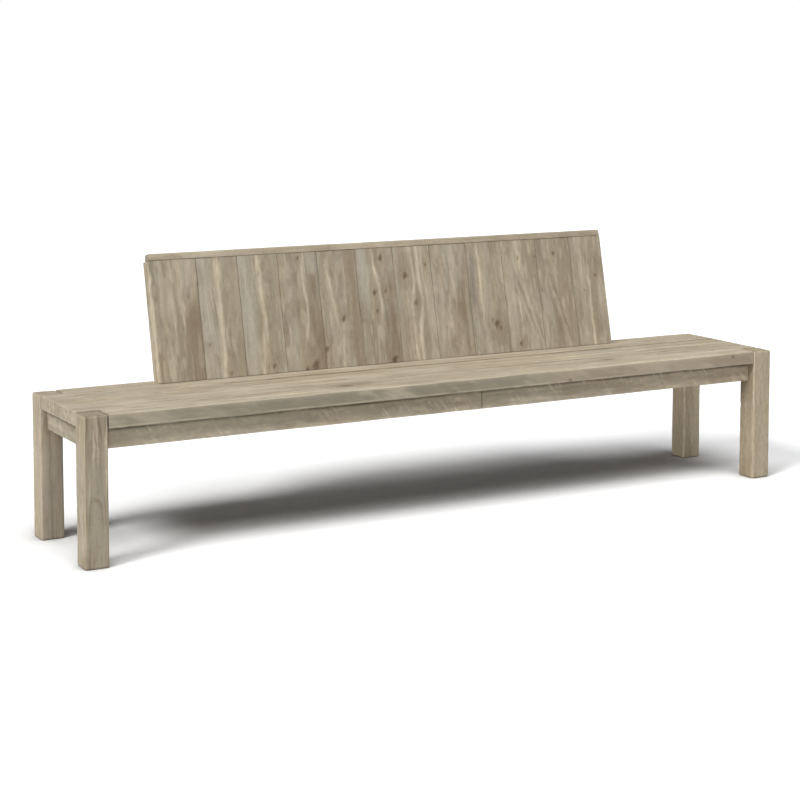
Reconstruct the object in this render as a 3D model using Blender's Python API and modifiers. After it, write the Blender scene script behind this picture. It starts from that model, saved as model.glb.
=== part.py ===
"""A long wooden bench with a leaning back of upright boards, one object for each piece.

Metres, +Z up, +X along the bench and +Y towards its back. The origin is on the floor,
at the middle of the bench's overall box.
"""

from math import cos, pi, radians, sin, tan

import bmesh
import bpy
from mathutils import Vector

# Clearances
FIT_GAP = 0.0003
NOTCH_GAP = 0.003
SEAT_BOARD_GAP = 0.003
BACK_BOARD_GAP = 0.001
UPRIGHT_GAP = 0.0005
APRON_JOINT_GAP = 0.001
BOLT_HOLE_GAP = 0.0004

# Overall frame
BENCH_LENGTH = 2.520
SEAT_HEIGHT = 0.450

# Posts
POST_SIDE = 0.074
POST_DROP = 0.001
POST_EDGE = 0.005

# Seat boards
SEAT_BOARD_COUNT = 3
SEAT_BOARD_WIDTH = 0.152
SEAT_BOARD_THICKNESS = 0.044
SEAT_FACE_INSET = 0.001
SEAT_END_INSET = 0.004
SEAT_EDGE = 0.003

# Aprons: a shoulder is how far an apron's inner face lies outside the posts' inner faces
APRON_THICKNESS = 0.028
APRON_HEIGHT = 0.063
FRONT_APRON_SHOULDER = 0.015
END_APRON_SHOULDER = 0.023
APRON_EDGE = 0.002
APRON_JOINT_X = 0.094

# Splice block and bearers
SPLICE_LENGTH = 0.300
BEARER_THICKNESS = 0.028
BEARER_TO_UPRIGHT = 0.046

# Tenons, and the housings that take the rear apron's ends
TENON_LENGTH = 0.022
TENON_THICKNESS = 0.012
TENON_SHOULDER = 0.010
HOUSING_DEPTH = 0.012

# Back: its foot lies forward of the frame's rear, its ends inside the frame's ends
BACK_INSET = 0.066
BACK_END_INSET = 0.395
BACK_LEAN = radians(12.5)
BACK_BOARD_HEIGHT = 0.390
BACK_BOARD_THICKNESS = 0.020
BACK_BOARD_WIDTH = 0.1425
FIRST_BOARD_WIDTH = 0.158
BACK_EDGE = 0.0015
CAP_THICKNESS = 0.022
CAP_DEPTH = 0.036
CAP_EDGE = 0.003

# Uprights and rails behind the back boards
UPRIGHT_WIDTH = 0.044
UPRIGHT_DEPTH = 0.032
RAIL_HEIGHT = 0.060
UPRIGHT_EDGE = 0.002

# Coach bolts and flange nuts, two for each upright
BOLT_RADIUS = 0.004
BOLT_SPACING = 0.030
BOLT_HEAD_RIM = 0.006
BOLT_HEAD_HEIGHT = 0.005
BOLT_END = 0.003
NUT_WALL = 0.0022
NUT_HEIGHT = 0.008
FLANGE_RIM = 0.0024
FLANGE_HEIGHT = 0.002

# Roundness
EDGE_SEGMENTS = 2
POST_EDGE_SEGMENTS = 3
ROUND_SIDES = 16
DOME_STEPS = 4

# How far a cutter or a joined-on block reaches past the face that it meets
CUT_REACH = 0.010

# Heights and depths that follow from the sizes above
SEAT_UNDERSIDE = SEAT_HEIGHT - SEAT_BOARD_THICKNESS
APRON_TOP = SEAT_UNDERSIDE - FIT_GAP
APRON_BOTTOM = APRON_TOP - APRON_HEIGHT
SEAT_DEPTH = SEAT_BOARD_COUNT * (SEAT_BOARD_WIDTH + SEAT_BOARD_GAP) - SEAT_BOARD_GAP
FRAME_DEPTH = SEAT_DEPTH + 2 * SEAT_FACE_INSET
UPRIGHT_FRONT = BACK_BOARD_THICKNESS + FIT_GAP
UPRIGHT_REAR = UPRIGHT_FRONT + UPRIGHT_DEPTH
BACK_REACH = BACK_BOARD_HEIGHT * sin(BACK_LEAN) + UPRIGHT_REAR * cos(BACK_LEAN)

# Places along Y
FRONT_Y = -(FRAME_DEPTH - BACK_INSET + BACK_REACH) / 2
REAR_Y = FRONT_Y + FRAME_DEPTH
BACK_Y = REAR_Y - BACK_INSET
POST_INNER_FRONT_Y = FRONT_Y + POST_SIDE
POST_INNER_REAR_Y = REAR_Y - POST_SIDE
FRONT_APRON_INNER_Y = POST_INNER_FRONT_Y - FRONT_APRON_SHOULDER
FRONT_APRON_OUTER_Y = FRONT_APRON_INNER_Y - APRON_THICKNESS

# Places along X
END_X = BENCH_LENGTH / 2
POST_INNER_X = END_X - POST_SIDE
END_APRON_INNER_X = POST_INNER_X + END_APRON_SHOULDER
BACK_END_X = END_X - BACK_END_INSET
UPRIGHT_OUTER_X = BACK_END_X - UPRIGHT_WIDTH / 2


def raked_y(depth, height):
    """World Y of a plane that lies a depth behind the back's front face, at a height."""
    return BACK_Y + depth / cos(BACK_LEAN) + (height - SEAT_HEIGHT) * tan(BACK_LEAN)


UPRIGHT_FOOT_FRONT_Y = raked_y(UPRIGHT_FRONT, SEAT_UNDERSIDE)
UPRIGHT_FOOT_REAR_Y = raked_y(UPRIGHT_REAR, SEAT_UNDERSIDE)
REAR_APRON_OUTER_Y = UPRIGHT_FOOT_FRONT_Y - FIT_GAP
REAR_APRON_INNER_Y = REAR_APRON_OUTER_Y - APRON_THICKNESS


def clear_scene():
    """Removes what the scene holds."""
    for old in list(bpy.data.objects):
        bpy.data.objects.remove(old, do_unlink=True)


def new_collection(name):
    """A collection linked to the scene."""
    collection = bpy.data.collections.new(name)
    bpy.context.scene.collection.children.link(collection)
    return collection


def new_material(name, color, roughness, metallic=0.0):
    """A Principled BSDF material of one colour."""
    material = bpy.data.materials.new(name)
    material.use_nodes = True
    shader = material.node_tree.nodes["Principled BSDF"]
    shader.inputs["Base Color"].default_value = (*color, 1.0)
    shader.inputs["Roughness"].default_value = roughness
    shader.inputs["Metallic"].default_value = metallic
    return material


def new_lean_frame():
    """An empty at the back's foot, whose Z runs up the back and whose Y is the depth into it."""
    empty = bpy.data.objects.new("lean_frame", None)
    empty.location = (0.0, BACK_Y, SEAT_HEIGHT)
    empty.rotation_euler = (-BACK_LEAN, 0.0, 0.0)
    BENCH.objects.link(empty)
    return empty


clear_scene()
BENCH = new_collection("wooden_bench")
CUTTERS = new_collection("cutters")
SEAT_WOOD = new_material("seat_wood", (0.46, 0.37, 0.25), 0.80)
FRAME_WOOD = new_material("frame_wood", (0.36, 0.29, 0.20), 0.82)
BACK_WOOD = new_material("back_wood", (0.31, 0.24, 0.16), 0.82)
ZINC = new_material("zinc_steel", (0.55, 0.55, 0.56), 0.40, 1.0)
LEAN_FRAME = new_lean_frame()


def add_piece(name, mesh, material, location=(0.0, 0.0, 0.0), parent=None):
    """A named piece of the bench, with its material."""
    piece = bpy.data.objects.new(name, mesh)
    piece.location = location
    piece.parent = parent
    BENCH.objects.link(piece)
    if not mesh.materials:
        mesh.materials.append(material)
    return piece


def block_mesh(name, size):
    """A box mesh centred on its origin."""
    bm = bmesh.new()
    bmesh.ops.create_cube(bm, size=1.0)
    bmesh.ops.scale(bm, vec=size, verts=bm.verts)
    return finished_mesh(name, bm)


def cylinder_mesh(name, radius, length, sides):
    """A capped cylinder mesh that stands on its origin, along Z."""
    bm = bmesh.new()
    bmesh.ops.create_cone(
        bm, cap_ends=True, segments=sides, radius1=radius, radius2=radius, depth=length
    )
    bmesh.ops.translate(bm, vec=(0.0, 0.0, length / 2), verts=bm.verts)
    return finished_mesh(name, bm)


def finished_mesh(name, bm):
    """A mesh made from an edit mesh, which is freed."""
    mesh = bpy.data.meshes.new(name)
    bm.to_mesh(mesh)
    bm.free()
    return mesh


def evaluated_mesh(source, name):
    """The mesh that an object has after its modifiers; the object is removed."""
    bpy.context.view_layer.update()
    evaluated = source.evaluated_get(bpy.context.evaluated_depsgraph_get())
    mesh = bpy.data.meshes.new_from_object(evaluated)
    mesh.name = name
    mesh.transform(source.matrix_world)
    bpy.data.objects.remove(source, do_unlink=True)
    return mesh


def add_block(name, low, high, material, edge=0.0, segments=EDGE_SEGMENTS, parent=None):
    """A box from its low corner to its high corner, with its edges rounded."""
    low = Vector(low)
    high = Vector(high)
    block = add_piece(name, block_mesh(name, high - low), material, (low + high) / 2, parent)
    if edge:
        round_edges(block, edge, segments)
    return block


def round_edges(piece, width, segments=EDGE_SEGMENTS):
    """Rounds the sharp edges of a piece."""
    bevel = piece.modifiers.new("rounded_edges", "BEVEL")
    bevel.width = width
    bevel.segments = segments
    bevel.limit_method = "ANGLE"


def boolean(piece, helper, operation):
    """Cuts a helper out of a piece, or joins it on, and moves the helper to the cutters."""
    step = piece.modifiers.new(helper.name, "BOOLEAN")
    step.object = helper
    step.operation = operation
    step.solver = "EXACT"
    BENCH.objects.unlink(helper)
    CUTTERS.objects.link(helper)
    helper.display_type = "WIRE"
    helper.hide_render = True


def cut_block(piece, name, low, high, parent=None):
    """Cuts a box out of a piece."""
    boolean(piece, add_block(name, low, high, FRAME_WOOD, parent=parent), "DIFFERENCE")


def join_block(piece, name, low, high):
    """Joins a box onto a piece."""
    boolean(piece, add_block(name, low, high, FRAME_WOOD), "UNION")


def span(side, inner, outer):
    """Low and high X of a stretch that is given for the right end, on the given side."""
    return sorted((side * inner, side * outer))


def ends():
    """Name and side of the bench's two ends."""
    return (("left", -1), ("right", 1))


def upright_places():
    """Name and X of each upright: flush with the back's ends, and in the middle."""
    return (("left", -UPRIGHT_OUTER_X), ("middle", 0.0), ("right", UPRIGHT_OUTER_X))


def add_posts():
    """The four legs, each with an end mortise, and a front mortise or a housing."""
    for end, side in ends():
        low_x, high_x = span(side, POST_INNER_X, END_X)
        for row, low_y in (("front", FRONT_Y), ("rear", POST_INNER_REAR_Y)):
            post = add_block(
                f"post_{row}_{end}",
                (low_x, low_y, 0.0),
                (high_x, low_y + POST_SIDE, SEAT_HEIGHT - POST_DROP),
                FRAME_WOOD,
                POST_EDGE,
                POST_EDGE_SEGMENTS,
            )
            cut_end_mortise(post, side, row)
            if row == "front":
                cut_front_mortise(post, side)
            else:
                cut_housing(post, side)


def mortise_heights():
    """Low and high Z of a mortise."""
    return APRON_BOTTOM + TENON_SHOULDER - FIT_GAP, APRON_TOP - TENON_SHOULDER + FIT_GAP


def cut_end_mortise(post, side, row):
    """The mortise for an end apron's tenon, in the post's face towards the other row."""
    middle = END_APRON_INNER_X + APRON_THICKNESS / 2
    half = TENON_THICKNESS / 2 + FIT_GAP
    low_x, high_x = span(side, middle - half, middle + half)
    if row == "front":
        low_y = POST_INNER_FRONT_Y - TENON_LENGTH - FIT_GAP
        high_y = POST_INNER_FRONT_Y + CUT_REACH
    else:
        low_y = POST_INNER_REAR_Y - CUT_REACH
        high_y = POST_INNER_REAR_Y + TENON_LENGTH + FIT_GAP
    low_z, high_z = mortise_heights()
    cut_block(post, post.name + "_end_mortise", (low_x, low_y, low_z), (high_x, high_y, high_z))


def cut_front_mortise(post, side):
    """The mortise for the front apron's tenon, in the post's face towards the other end."""
    middle = FRONT_APRON_INNER_Y - APRON_THICKNESS / 2
    half = TENON_THICKNESS / 2 + FIT_GAP
    low_x, high_x = span(side, POST_INNER_X - CUT_REACH, POST_INNER_X + TENON_LENGTH + FIT_GAP)
    low_z, high_z = mortise_heights()
    cut_block(
        post,
        post.name + "_front_mortise",
        (low_x, middle - half, low_z),
        (high_x, middle + half, high_z),
    )


def cut_housing(post, side):
    """The housing in a rear post's inner corner that takes the rear apron's end."""
    low_x, high_x = span(side, POST_INNER_X - CUT_REACH, POST_INNER_X + HOUSING_DEPTH + FIT_GAP)
    cut_block(
        post,
        post.name + "_housing",
        (low_x, POST_INNER_REAR_Y - CUT_REACH, APRON_BOTTOM - FIT_GAP),
        (high_x, REAR_APRON_OUTER_Y + FIT_GAP, APRON_TOP + FIT_GAP),
    )


def add_front_aprons():
    """The front apron's two lengths, butted together, each with a tenon at its post."""
    shoulder_x = POST_INNER_X - FIT_GAP
    middle_y = FRONT_APRON_INNER_Y - APRON_THICKNESS / 2
    stretches = {
        "left": (-shoulder_x, APRON_JOINT_X - APRON_JOINT_GAP / 2),
        "right": (APRON_JOINT_X + APRON_JOINT_GAP / 2, shoulder_x),
    }
    for end, side in ends():
        low_x, high_x = stretches[end]
        apron = add_block(
            "apron_front_" + end,
            (low_x, FRONT_APRON_OUTER_Y, APRON_BOTTOM),
            (high_x, FRONT_APRON_INNER_Y, APRON_TOP),
            FRAME_WOOD,
            APRON_EDGE,
        )
        tenon_low, tenon_high = span(side, shoulder_x - CUT_REACH, POST_INNER_X + TENON_LENGTH)
        join_block(
            apron,
            apron.name + "_tenon",
            (tenon_low, middle_y - TENON_THICKNESS / 2, APRON_BOTTOM + TENON_SHOULDER),
            (tenon_high, middle_y + TENON_THICKNESS / 2, APRON_TOP - TENON_SHOULDER),
        )


def add_end_aprons():
    """The two end aprons, each with a tenon at both posts."""
    low_y = POST_INNER_FRONT_Y + FIT_GAP
    high_y = POST_INNER_REAR_Y - FIT_GAP
    middle = END_APRON_INNER_X + APRON_THICKNESS / 2
    for end, side in ends():
        low_x, high_x = span(side, END_APRON_INNER_X, END_APRON_INNER_X + APRON_THICKNESS)
        apron = add_block(
            "apron_end_" + end,
            (low_x, low_y, APRON_BOTTOM),
            (high_x, high_y, APRON_TOP),
            FRAME_WOOD,
            APRON_EDGE,
        )
        for row, tenon_low, tenon_high in (
            ("front", POST_INNER_FRONT_Y - TENON_LENGTH, low_y + CUT_REACH),
            ("rear", high_y - CUT_REACH, POST_INNER_REAR_Y + TENON_LENGTH),
        ):
            join_block(
                apron,
                f"{apron.name}_tenon_{row}",
                (side * middle - TENON_THICKNESS / 2, tenon_low, APRON_BOTTOM + TENON_SHOULDER),
                (side * middle + TENON_THICKNESS / 2, tenon_high, APRON_TOP - TENON_SHOULDER),
            )


def add_rear_apron():
    """The rear apron, its ends in the rear posts' housings, drilled for the uprights' bolts."""
    half = POST_INNER_X + HOUSING_DEPTH
    apron = add_block(
        "apron_rear",
        (-half, REAR_APRON_INNER_Y, APRON_BOTTOM),
        (half, REAR_APRON_OUTER_Y, APRON_TOP),
        FRAME_WOOD,
        APRON_EDGE,
    )
    for place, upright_x in upright_places():
        drill_bolt_holes(apron, place, upright_x)


def add_splice_block():
    """The block behind the front apron's butt joint, between the two inner bearers."""
    low_y = FRONT_APRON_INNER_Y + FIT_GAP
    add_block(
        "apron_splice",
        (APRON_JOINT_X - SPLICE_LENGTH / 2, low_y, APRON_BOTTOM),
        (APRON_JOINT_X + SPLICE_LENGTH / 2, low_y + APRON_THICKNESS, APRON_TOP),
        FRAME_WOOD,
        APRON_EDGE,
    )


def add_bearers():
    """The four bearers across: inside each end upright, and at each end of the splice block."""
    outer = UPRIGHT_OUTER_X - UPRIGHT_WIDTH / 2 - BEARER_TO_UPRIGHT - BEARER_THICKNESS / 2
    beside = SPLICE_LENGTH / 2 + FIT_GAP + BEARER_THICKNESS / 2
    middles = (-outer, APRON_JOINT_X - beside, APRON_JOINT_X + beside, outer)
    for number, middle in enumerate(middles, start=1):
        add_block(
            f"bearer_{number}",
            (middle - BEARER_THICKNESS / 2, FRONT_APRON_INNER_Y + FIT_GAP, APRON_BOTTOM),
            (middle + BEARER_THICKNESS / 2, REAR_APRON_INNER_Y - FIT_GAP, APRON_TOP),
            FRAME_WOOD,
            APRON_EDGE,
        )


def add_seat_boards():
    """The seat boards, numbered from the front, notched round the posts and the uprights."""
    half = END_X - SEAT_END_INSET
    boards = []
    for number in range(SEAT_BOARD_COUNT):
        low_y = FRONT_Y + SEAT_FACE_INSET + number * (SEAT_BOARD_WIDTH + SEAT_BOARD_GAP)
        board = add_block(
            f"seat_board_{number + 1}",
            (-half, low_y, SEAT_UNDERSIDE),
            (half, low_y + SEAT_BOARD_WIDTH, SEAT_HEIGHT),
            SEAT_WOOD,
            SEAT_EDGE,
        )
        boards.append(board)
    for end, side in ends():
        front_edge = POST_INNER_FRONT_Y + NOTCH_GAP
        rear_edge = POST_INNER_REAR_Y - NOTCH_GAP
        notch_post(boards[0], "notch_front_" + end, side, FRONT_Y - CUT_REACH, front_edge)
        notch_post(boards[-1], "notch_rear_" + end, side, rear_edge, REAR_Y + CUT_REACH)
    for place, upright_x in upright_places():
        notch_upright(boards[-1], place, upright_x)


def notch_post(board, name, side, low_y, high_y):
    """The corner notch of a seat board at a post."""
    low_x, high_x = span(side, POST_INNER_X - NOTCH_GAP, END_X + CUT_REACH)
    low = (low_x, low_y, SEAT_UNDERSIDE - CUT_REACH)
    high = (high_x, high_y, SEAT_HEIGHT + CUT_REACH)
    cut_block(board, name, low, high)


def notch_upright(board, place, upright_x):
    """The notch for an upright, raked like it and open to the board's rear edge."""
    half = UPRIGHT_WIDTH / 2 + UPRIGHT_GAP
    reach = BACK_INSET + SEAT_BOARD_THICKNESS + CUT_REACH
    cut_block(
        board,
        "notch_upright_" + place,
        (upright_x - half, UPRIGHT_FRONT - UPRIGHT_GAP, -reach),
        (upright_x + half, UPRIGHT_FRONT + reach, reach),
        parent=LEAN_FRAME,
    )


def on_lean(depth, length):
    """World Y and Z of a point a depth into the back and a length up it."""
    return (
        BACK_Y + length * sin(BACK_LEAN) + depth * cos(BACK_LEAN),
        SEAT_HEIGHT + length * cos(BACK_LEAN) - depth * sin(BACK_LEAN),
    )


def upright_mesh():
    """An upright: raked above the seat's underside and plumb below it, centred on X."""
    outline = (
        on_lean(UPRIGHT_FRONT, BACK_BOARD_HEIGHT),
        (UPRIGHT_FOOT_FRONT_Y, SEAT_UNDERSIDE),
        (UPRIGHT_FOOT_FRONT_Y, APRON_BOTTOM),
        (UPRIGHT_FOOT_REAR_Y, APRON_BOTTOM),
        (UPRIGHT_FOOT_REAR_Y, SEAT_UNDERSIDE),
        on_lean(UPRIGHT_REAR, BACK_BOARD_HEIGHT),
    )
    curve = bpy.data.curves.new("upright_outline", "CURVE")
    curve.dimensions = "2D"
    curve.fill_mode = "BOTH"
    curve.extrude = UPRIGHT_WIDTH / 2
    spline = curve.splines.new("POLY")
    spline.points.add(len(outline) - 1)
    for point, (y, z) in zip(spline.points, outline):
        point.co = (y, z, 0.0, 1.0)
    spline.use_cyclic_u = True
    flat = bpy.data.objects.new("upright_outline", curve)
    flat.rotation_euler = (pi / 2, 0.0, pi / 2)
    BENCH.objects.link(flat)
    mesh = evaluated_mesh(flat, "back_upright")
    bm = bmesh.new()
    bm.from_mesh(mesh)
    bmesh.ops.remove_doubles(bm, verts=bm.verts, dist=FIT_GAP / 10)
    bmesh.ops.dissolve_limit(bm, angle_limit=radians(1.0), verts=bm.verts, edges=bm.edges)
    bmesh.ops.recalc_face_normals(bm, faces=bm.faces)
    bm.to_mesh(mesh)
    bm.free()
    return mesh


def add_uprights():
    """The three uprights that carry the back, each drilled for its two bolts."""
    mesh = upright_mesh()
    for place, upright_x in upright_places():
        upright = add_piece("back_upright_" + place, mesh, FRAME_WOOD, (upright_x, 0.0, 0.0))
        round_edges(upright, UPRIGHT_EDGE)
        drill_bolt_holes(upright, place, upright_x)


def add_rails():
    """The rails behind the back boards, top and bottom, on each side of the middle upright."""
    inner = UPRIGHT_WIDTH / 2 + FIT_GAP
    outer = UPRIGHT_OUTER_X - UPRIGHT_WIDTH / 2 - FIT_GAP
    for level, low_z, high_z in (
        ("bottom", 0.0, RAIL_HEIGHT),
        ("top", BACK_BOARD_HEIGHT - RAIL_HEIGHT, BACK_BOARD_HEIGHT),
    ):
        for end, side in ends():
            low_x, high_x = span(side, inner, outer)
            rail = add_block(
                f"back_rail_{level}_{end}",
                (low_x, UPRIGHT_FRONT, low_z),
                (high_x, UPRIGHT_REAR, high_z),
                FRAME_WOOD,
                UPRIGHT_EDGE,
                parent=LEAN_FRAME,
            )
            if level == "bottom":
                level_foot(rail)


def level_foot(piece):
    """Cuts the foot of a block on the lean frame level with the seat, clear of it."""
    middle = piece.location
    for vertex in piece.data.vertices:
        if vertex.co.z < 0.0:
            depth = vertex.co.y + middle.y
            vertex.co.z = FIT_GAP / cos(BACK_LEAN) + depth * tan(BACK_LEAN) - middle.z


def back_board_widths():
    """Widths of the back boards from the left: a wide first one, and the last cut to what is left."""
    left_over = 2 * BACK_END_X - FIRST_BOARD_WIDTH - BACK_BOARD_GAP
    pitch = BACK_BOARD_WIDTH + BACK_BOARD_GAP
    full = round(left_over / pitch) - 1
    return [FIRST_BOARD_WIDTH] + [BACK_BOARD_WIDTH] * full + [left_over - full * pitch]


def add_back_boards():
    """The upright boards of the back, side by side, standing on the seat."""
    low_x = -BACK_END_X
    for number, width in enumerate(back_board_widths(), start=1):
        board = add_block(
            f"back_board_{number:02d}",
            (low_x, 0.0, 0.0),
            (low_x + width, BACK_BOARD_THICKNESS, BACK_BOARD_HEIGHT),
            BACK_WOOD,
            BACK_EDGE,
            parent=LEAN_FRAME,
        )
        level_foot(board)
        low_x += width + BACK_BOARD_GAP


def add_cap():
    """The cap board on top of the back boards and their frame."""
    low_z = BACK_BOARD_HEIGHT + FIT_GAP
    add_block(
        "back_cap",
        (-BACK_END_X, 0.0, low_z),
        (BACK_END_X, CAP_DEPTH, low_z + CAP_THICKNESS),
        BACK_WOOD,
        CAP_EDGE,
        parent=LEAN_FRAME,
    )


def bolt_heights():
    """Name and height of each of an upright's two bolts."""
    middle = (APRON_BOTTOM + APRON_TOP) / 2
    return (("lower", middle - BOLT_SPACING / 2), ("upper", middle + BOLT_SPACING / 2))


def drill_bolt_holes(piece, place, upright_x):
    """Holes along Y through the rear apron or an upright, one for each bolt."""
    low_y = REAR_APRON_INNER_Y - CUT_REACH
    length = UPRIGHT_FOOT_REAR_Y + CUT_REACH - low_y
    for level, height in bolt_heights():
        mesh = cylinder_mesh("bolt_hole", BOLT_RADIUS + BOLT_HOLE_GAP, length, ROUND_SIDES)
        name = f"{piece.name}_hole_{place}_{level}"
        drill = add_piece(name, mesh, ZINC, (upright_x, low_y, height))
        drill.rotation_euler = (-pi / 2, 0.0, 0.0)
        boolean(piece, drill, "DIFFERENCE")


def bolt_outline_mesh():
    """Half outline of a coach bolt at +X, from the top of its domed head to its shank's end."""
    head_radius = BOLT_RADIUS + BOLT_HEAD_RIM
    grip = UPRIGHT_FOOT_REAR_Y - REAR_APRON_INNER_Y + 2 * FIT_GAP
    shank_end = -(grip + NUT_HEIGHT + BOLT_END)
    outline = []
    for step in range(DOME_STEPS + 1):
        turn = step * pi / 2 / DOME_STEPS
        outline.append((head_radius * sin(turn), BOLT_HEAD_HEIGHT * cos(turn)))
    outline += [(BOLT_RADIUS, 0.0), (BOLT_RADIUS, shank_end), (0.0, shank_end)]
    bm = bmesh.new()
    corners = [bm.verts.new((x, 0.0, z)) for x, z in outline]
    for first, second in zip(corners, corners[1:]):
        bm.edges.new((first, second))
    return finished_mesh("bolt_outline", bm)


def add_bolt(name, outline, location):
    """A coach bolt turned from its half outline, its head towards the back."""
    bolt = add_piece(name, outline, ZINC, location)
    bolt.rotation_euler = (-pi / 2, 0.0, 0.0)
    screw = bolt.modifiers.new("turned", "SCREW")
    screw.steps = ROUND_SIDES
    screw.render_steps = ROUND_SIDES
    screw.use_merge_vertices = True
    screw.merge_threshold = 0.00001


def nut_mesh():
    """A flange nut along Z, its flange on its origin: a bored hexagon on a round flange."""
    flat_radius = BOLT_RADIUS + FIT_GAP + NUT_WALL
    hexagon = cylinder_mesh("nut_hexagon", flat_radius / cos(pi / 6), NUT_HEIGHT, 6)
    flange = cylinder_mesh("nut_flange", flat_radius + FLANGE_RIM, FLANGE_HEIGHT, ROUND_SIDES)
    bore = cylinder_mesh(
        "nut_bore", BOLT_RADIUS + FIT_GAP, NUT_HEIGHT + 2 * CUT_REACH, ROUND_SIDES
    )
    nut = add_piece("nut_hexagon", hexagon, ZINC)
    helpers = (
        add_piece("nut_flange", flange, ZINC),
        add_piece("nut_bore", bore, ZINC, (0.0, 0.0, -CUT_REACH)),
    )
    for helper, operation in zip(helpers, ("UNION", "DIFFERENCE")):
        boolean(nut, helper, operation)
    mesh = evaluated_mesh(nut, "flange_nut")
    for helper in helpers:
        bpy.data.objects.remove(helper, do_unlink=True)
    mesh.shade_smooth()
    mesh.set_sharp_from_angle(angle=radians(30.0))
    return mesh


def add_bolts_and_nuts():
    """Two coach bolts through each upright and the rear apron, with their flange nuts."""
    outline = bolt_outline_mesh()
    nut = nut_mesh()
    for place, upright_x in upright_places():
        for level, height in bolt_heights():
            head = (upright_x, UPRIGHT_FOOT_REAR_Y + FIT_GAP, height)
            add_bolt(f"coach_bolt_{place}_{level}", outline, head)
            seat = (upright_x, REAR_APRON_INNER_Y - FIT_GAP, height)
            fitted = add_piece(f"flange_nut_{place}_{level}", nut, ZINC, seat)
            fitted.rotation_euler = (pi / 2, 0.0, 0.0)


add_posts()
add_front_aprons()
add_end_aprons()
add_rear_apron()
add_splice_block()
add_bearers()
add_seat_boards()
add_uprights()
add_rails()
add_back_boards()
add_cap()
add_bolts_and_nuts()
bpy.context.view_layer.update()
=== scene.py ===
"""A long weathered wooden bench with a leaning boarded back, on a pale studio floor.

Each timber is a class instance that knows its place, its size and its character: where its
pith lay, its streaks, knots and checks. Its mesh is a fine grid with worn arrises and a shallow
relief, and carries the grain as attributes, which the procedural wood finishes read.
"""

import logging
import math
from collections.abc import Iterator
from dataclasses import dataclass, field, replace
from enum import Enum
from itertools import product

import bpy
import numpy as np
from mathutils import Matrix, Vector


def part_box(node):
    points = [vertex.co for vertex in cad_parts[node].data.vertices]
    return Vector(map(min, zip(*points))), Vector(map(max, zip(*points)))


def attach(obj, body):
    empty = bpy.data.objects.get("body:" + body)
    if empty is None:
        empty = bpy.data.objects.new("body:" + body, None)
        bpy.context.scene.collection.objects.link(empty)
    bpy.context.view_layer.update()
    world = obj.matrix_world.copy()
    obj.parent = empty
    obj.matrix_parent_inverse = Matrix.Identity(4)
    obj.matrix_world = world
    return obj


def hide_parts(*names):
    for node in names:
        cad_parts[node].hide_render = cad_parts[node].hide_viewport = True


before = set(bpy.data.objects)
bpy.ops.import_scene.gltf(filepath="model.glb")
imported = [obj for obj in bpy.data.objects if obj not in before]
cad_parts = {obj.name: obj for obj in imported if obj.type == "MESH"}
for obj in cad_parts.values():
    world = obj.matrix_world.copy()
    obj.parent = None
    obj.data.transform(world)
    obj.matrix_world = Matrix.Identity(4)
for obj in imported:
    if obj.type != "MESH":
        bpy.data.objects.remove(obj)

LOG = logging.getLogger("wooden_bench")
Array = np.ndarray
Socket = bpy.types.NodeSocket
Triple = tuple[float, float, float]
BODY = "root"
LEAN = math.radians(12.5)
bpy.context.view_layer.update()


# Numbers in space


def lattice_values(cells: Array, seed: int) -> Array:
    """Gives each cell of a lattice a fixed value that looks random.

    Args:
        cells: Whole-numbered places, one row each.
        seed: Picks one of many patterns.

    Returns:
        One value from -1 to 1 for each row.
    """
    mask = 0xFFFFFFFF
    mixed = cells[:, 0] * 374761393 + cells[:, 1] * 668265263 + cells[:, 2] * 1440662683
    mixed = (mixed + seed * 974711) & mask
    mixed = ((mixed ^ (mixed >> 13)) * 1274126177) & mask
    mixed ^= mixed >> 16
    return mixed / mask * 2.0 - 1.0


def smooth_noise(points: Array, scale: Triple, seed: int) -> Array:
    """Smooth noise in space.

    Args:
        points: Places in metres, one row each.
        scale: Lattice cells per metre along each axis.
        seed: Picks one of many patterns.

    Returns:
        One value from -1 to 1 for each row.
    """
    scaled = points * np.array(scale)
    cells = np.floor(scaled).astype(np.int64)
    part = scaled - cells
    fade = part * part * (3.0 - 2.0 * part)
    total = np.zeros(len(points))
    for corner in product((0, 1), repeat=3):
        weight = np.prod(np.where(corner, fade, 1.0 - fade), axis=1)
        total += weight * lattice_values(cells + np.array(corner), seed)
    return total


def soft_step(values: Array, low: float, high: float) -> Array:
    """Rises smoothly from 0 at low to 1 at high."""
    share = np.clip((values - low) / (high - low), 0.0, 1.0)
    return share * share * (3.0 - 2.0 * share)


def laid_over(tone: Array, colour: Array, share: Array) -> Array:
    """Lays a colour over a tone, by a share for each place."""
    return tone * (1.0 - share[:, None]) + colour * share[:, None]


# The character of a timber


class Stain(Enum):
    """Linear tones that sun, rain, sapwood and heartwood leave in the timbers, some also painting shade and
    light.
    """

    TAN = (0.475, 0.400, 0.290)
    PALE = (0.560, 0.485, 0.362)
    CREAM = (0.800, 0.690, 0.520)
    GREY = (0.465, 0.418, 0.325)
    SILVER = (0.555, 0.500, 0.402)
    OLIVE = (0.440, 0.392, 0.285)
    ROSE = (0.500, 0.412, 0.305)
    UMBER = (0.335, 0.262, 0.180)
    SMOKE = (0.370, 0.325, 0.262)
    # Dirt and shade: dark joint lines, and painted shadow along the fascia's lower arris.
    DIRT_AND_SHADE = (0.150, 0.120, 0.082)
    STRAW = (0.505, 0.410, 0.268)
    MOSS = (0.349, 0.311, 0.232)

    @property
    def colour(self) -> Array:
        """The tone as an array."""
        return np.array(self.value)


TAN, PALE, CREAM, GREY, SILVER, OLIVE, ROSE, UMBER, SMOKE, DIRT_AND_SHADE, STRAW, MOSS = Stain


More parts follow.
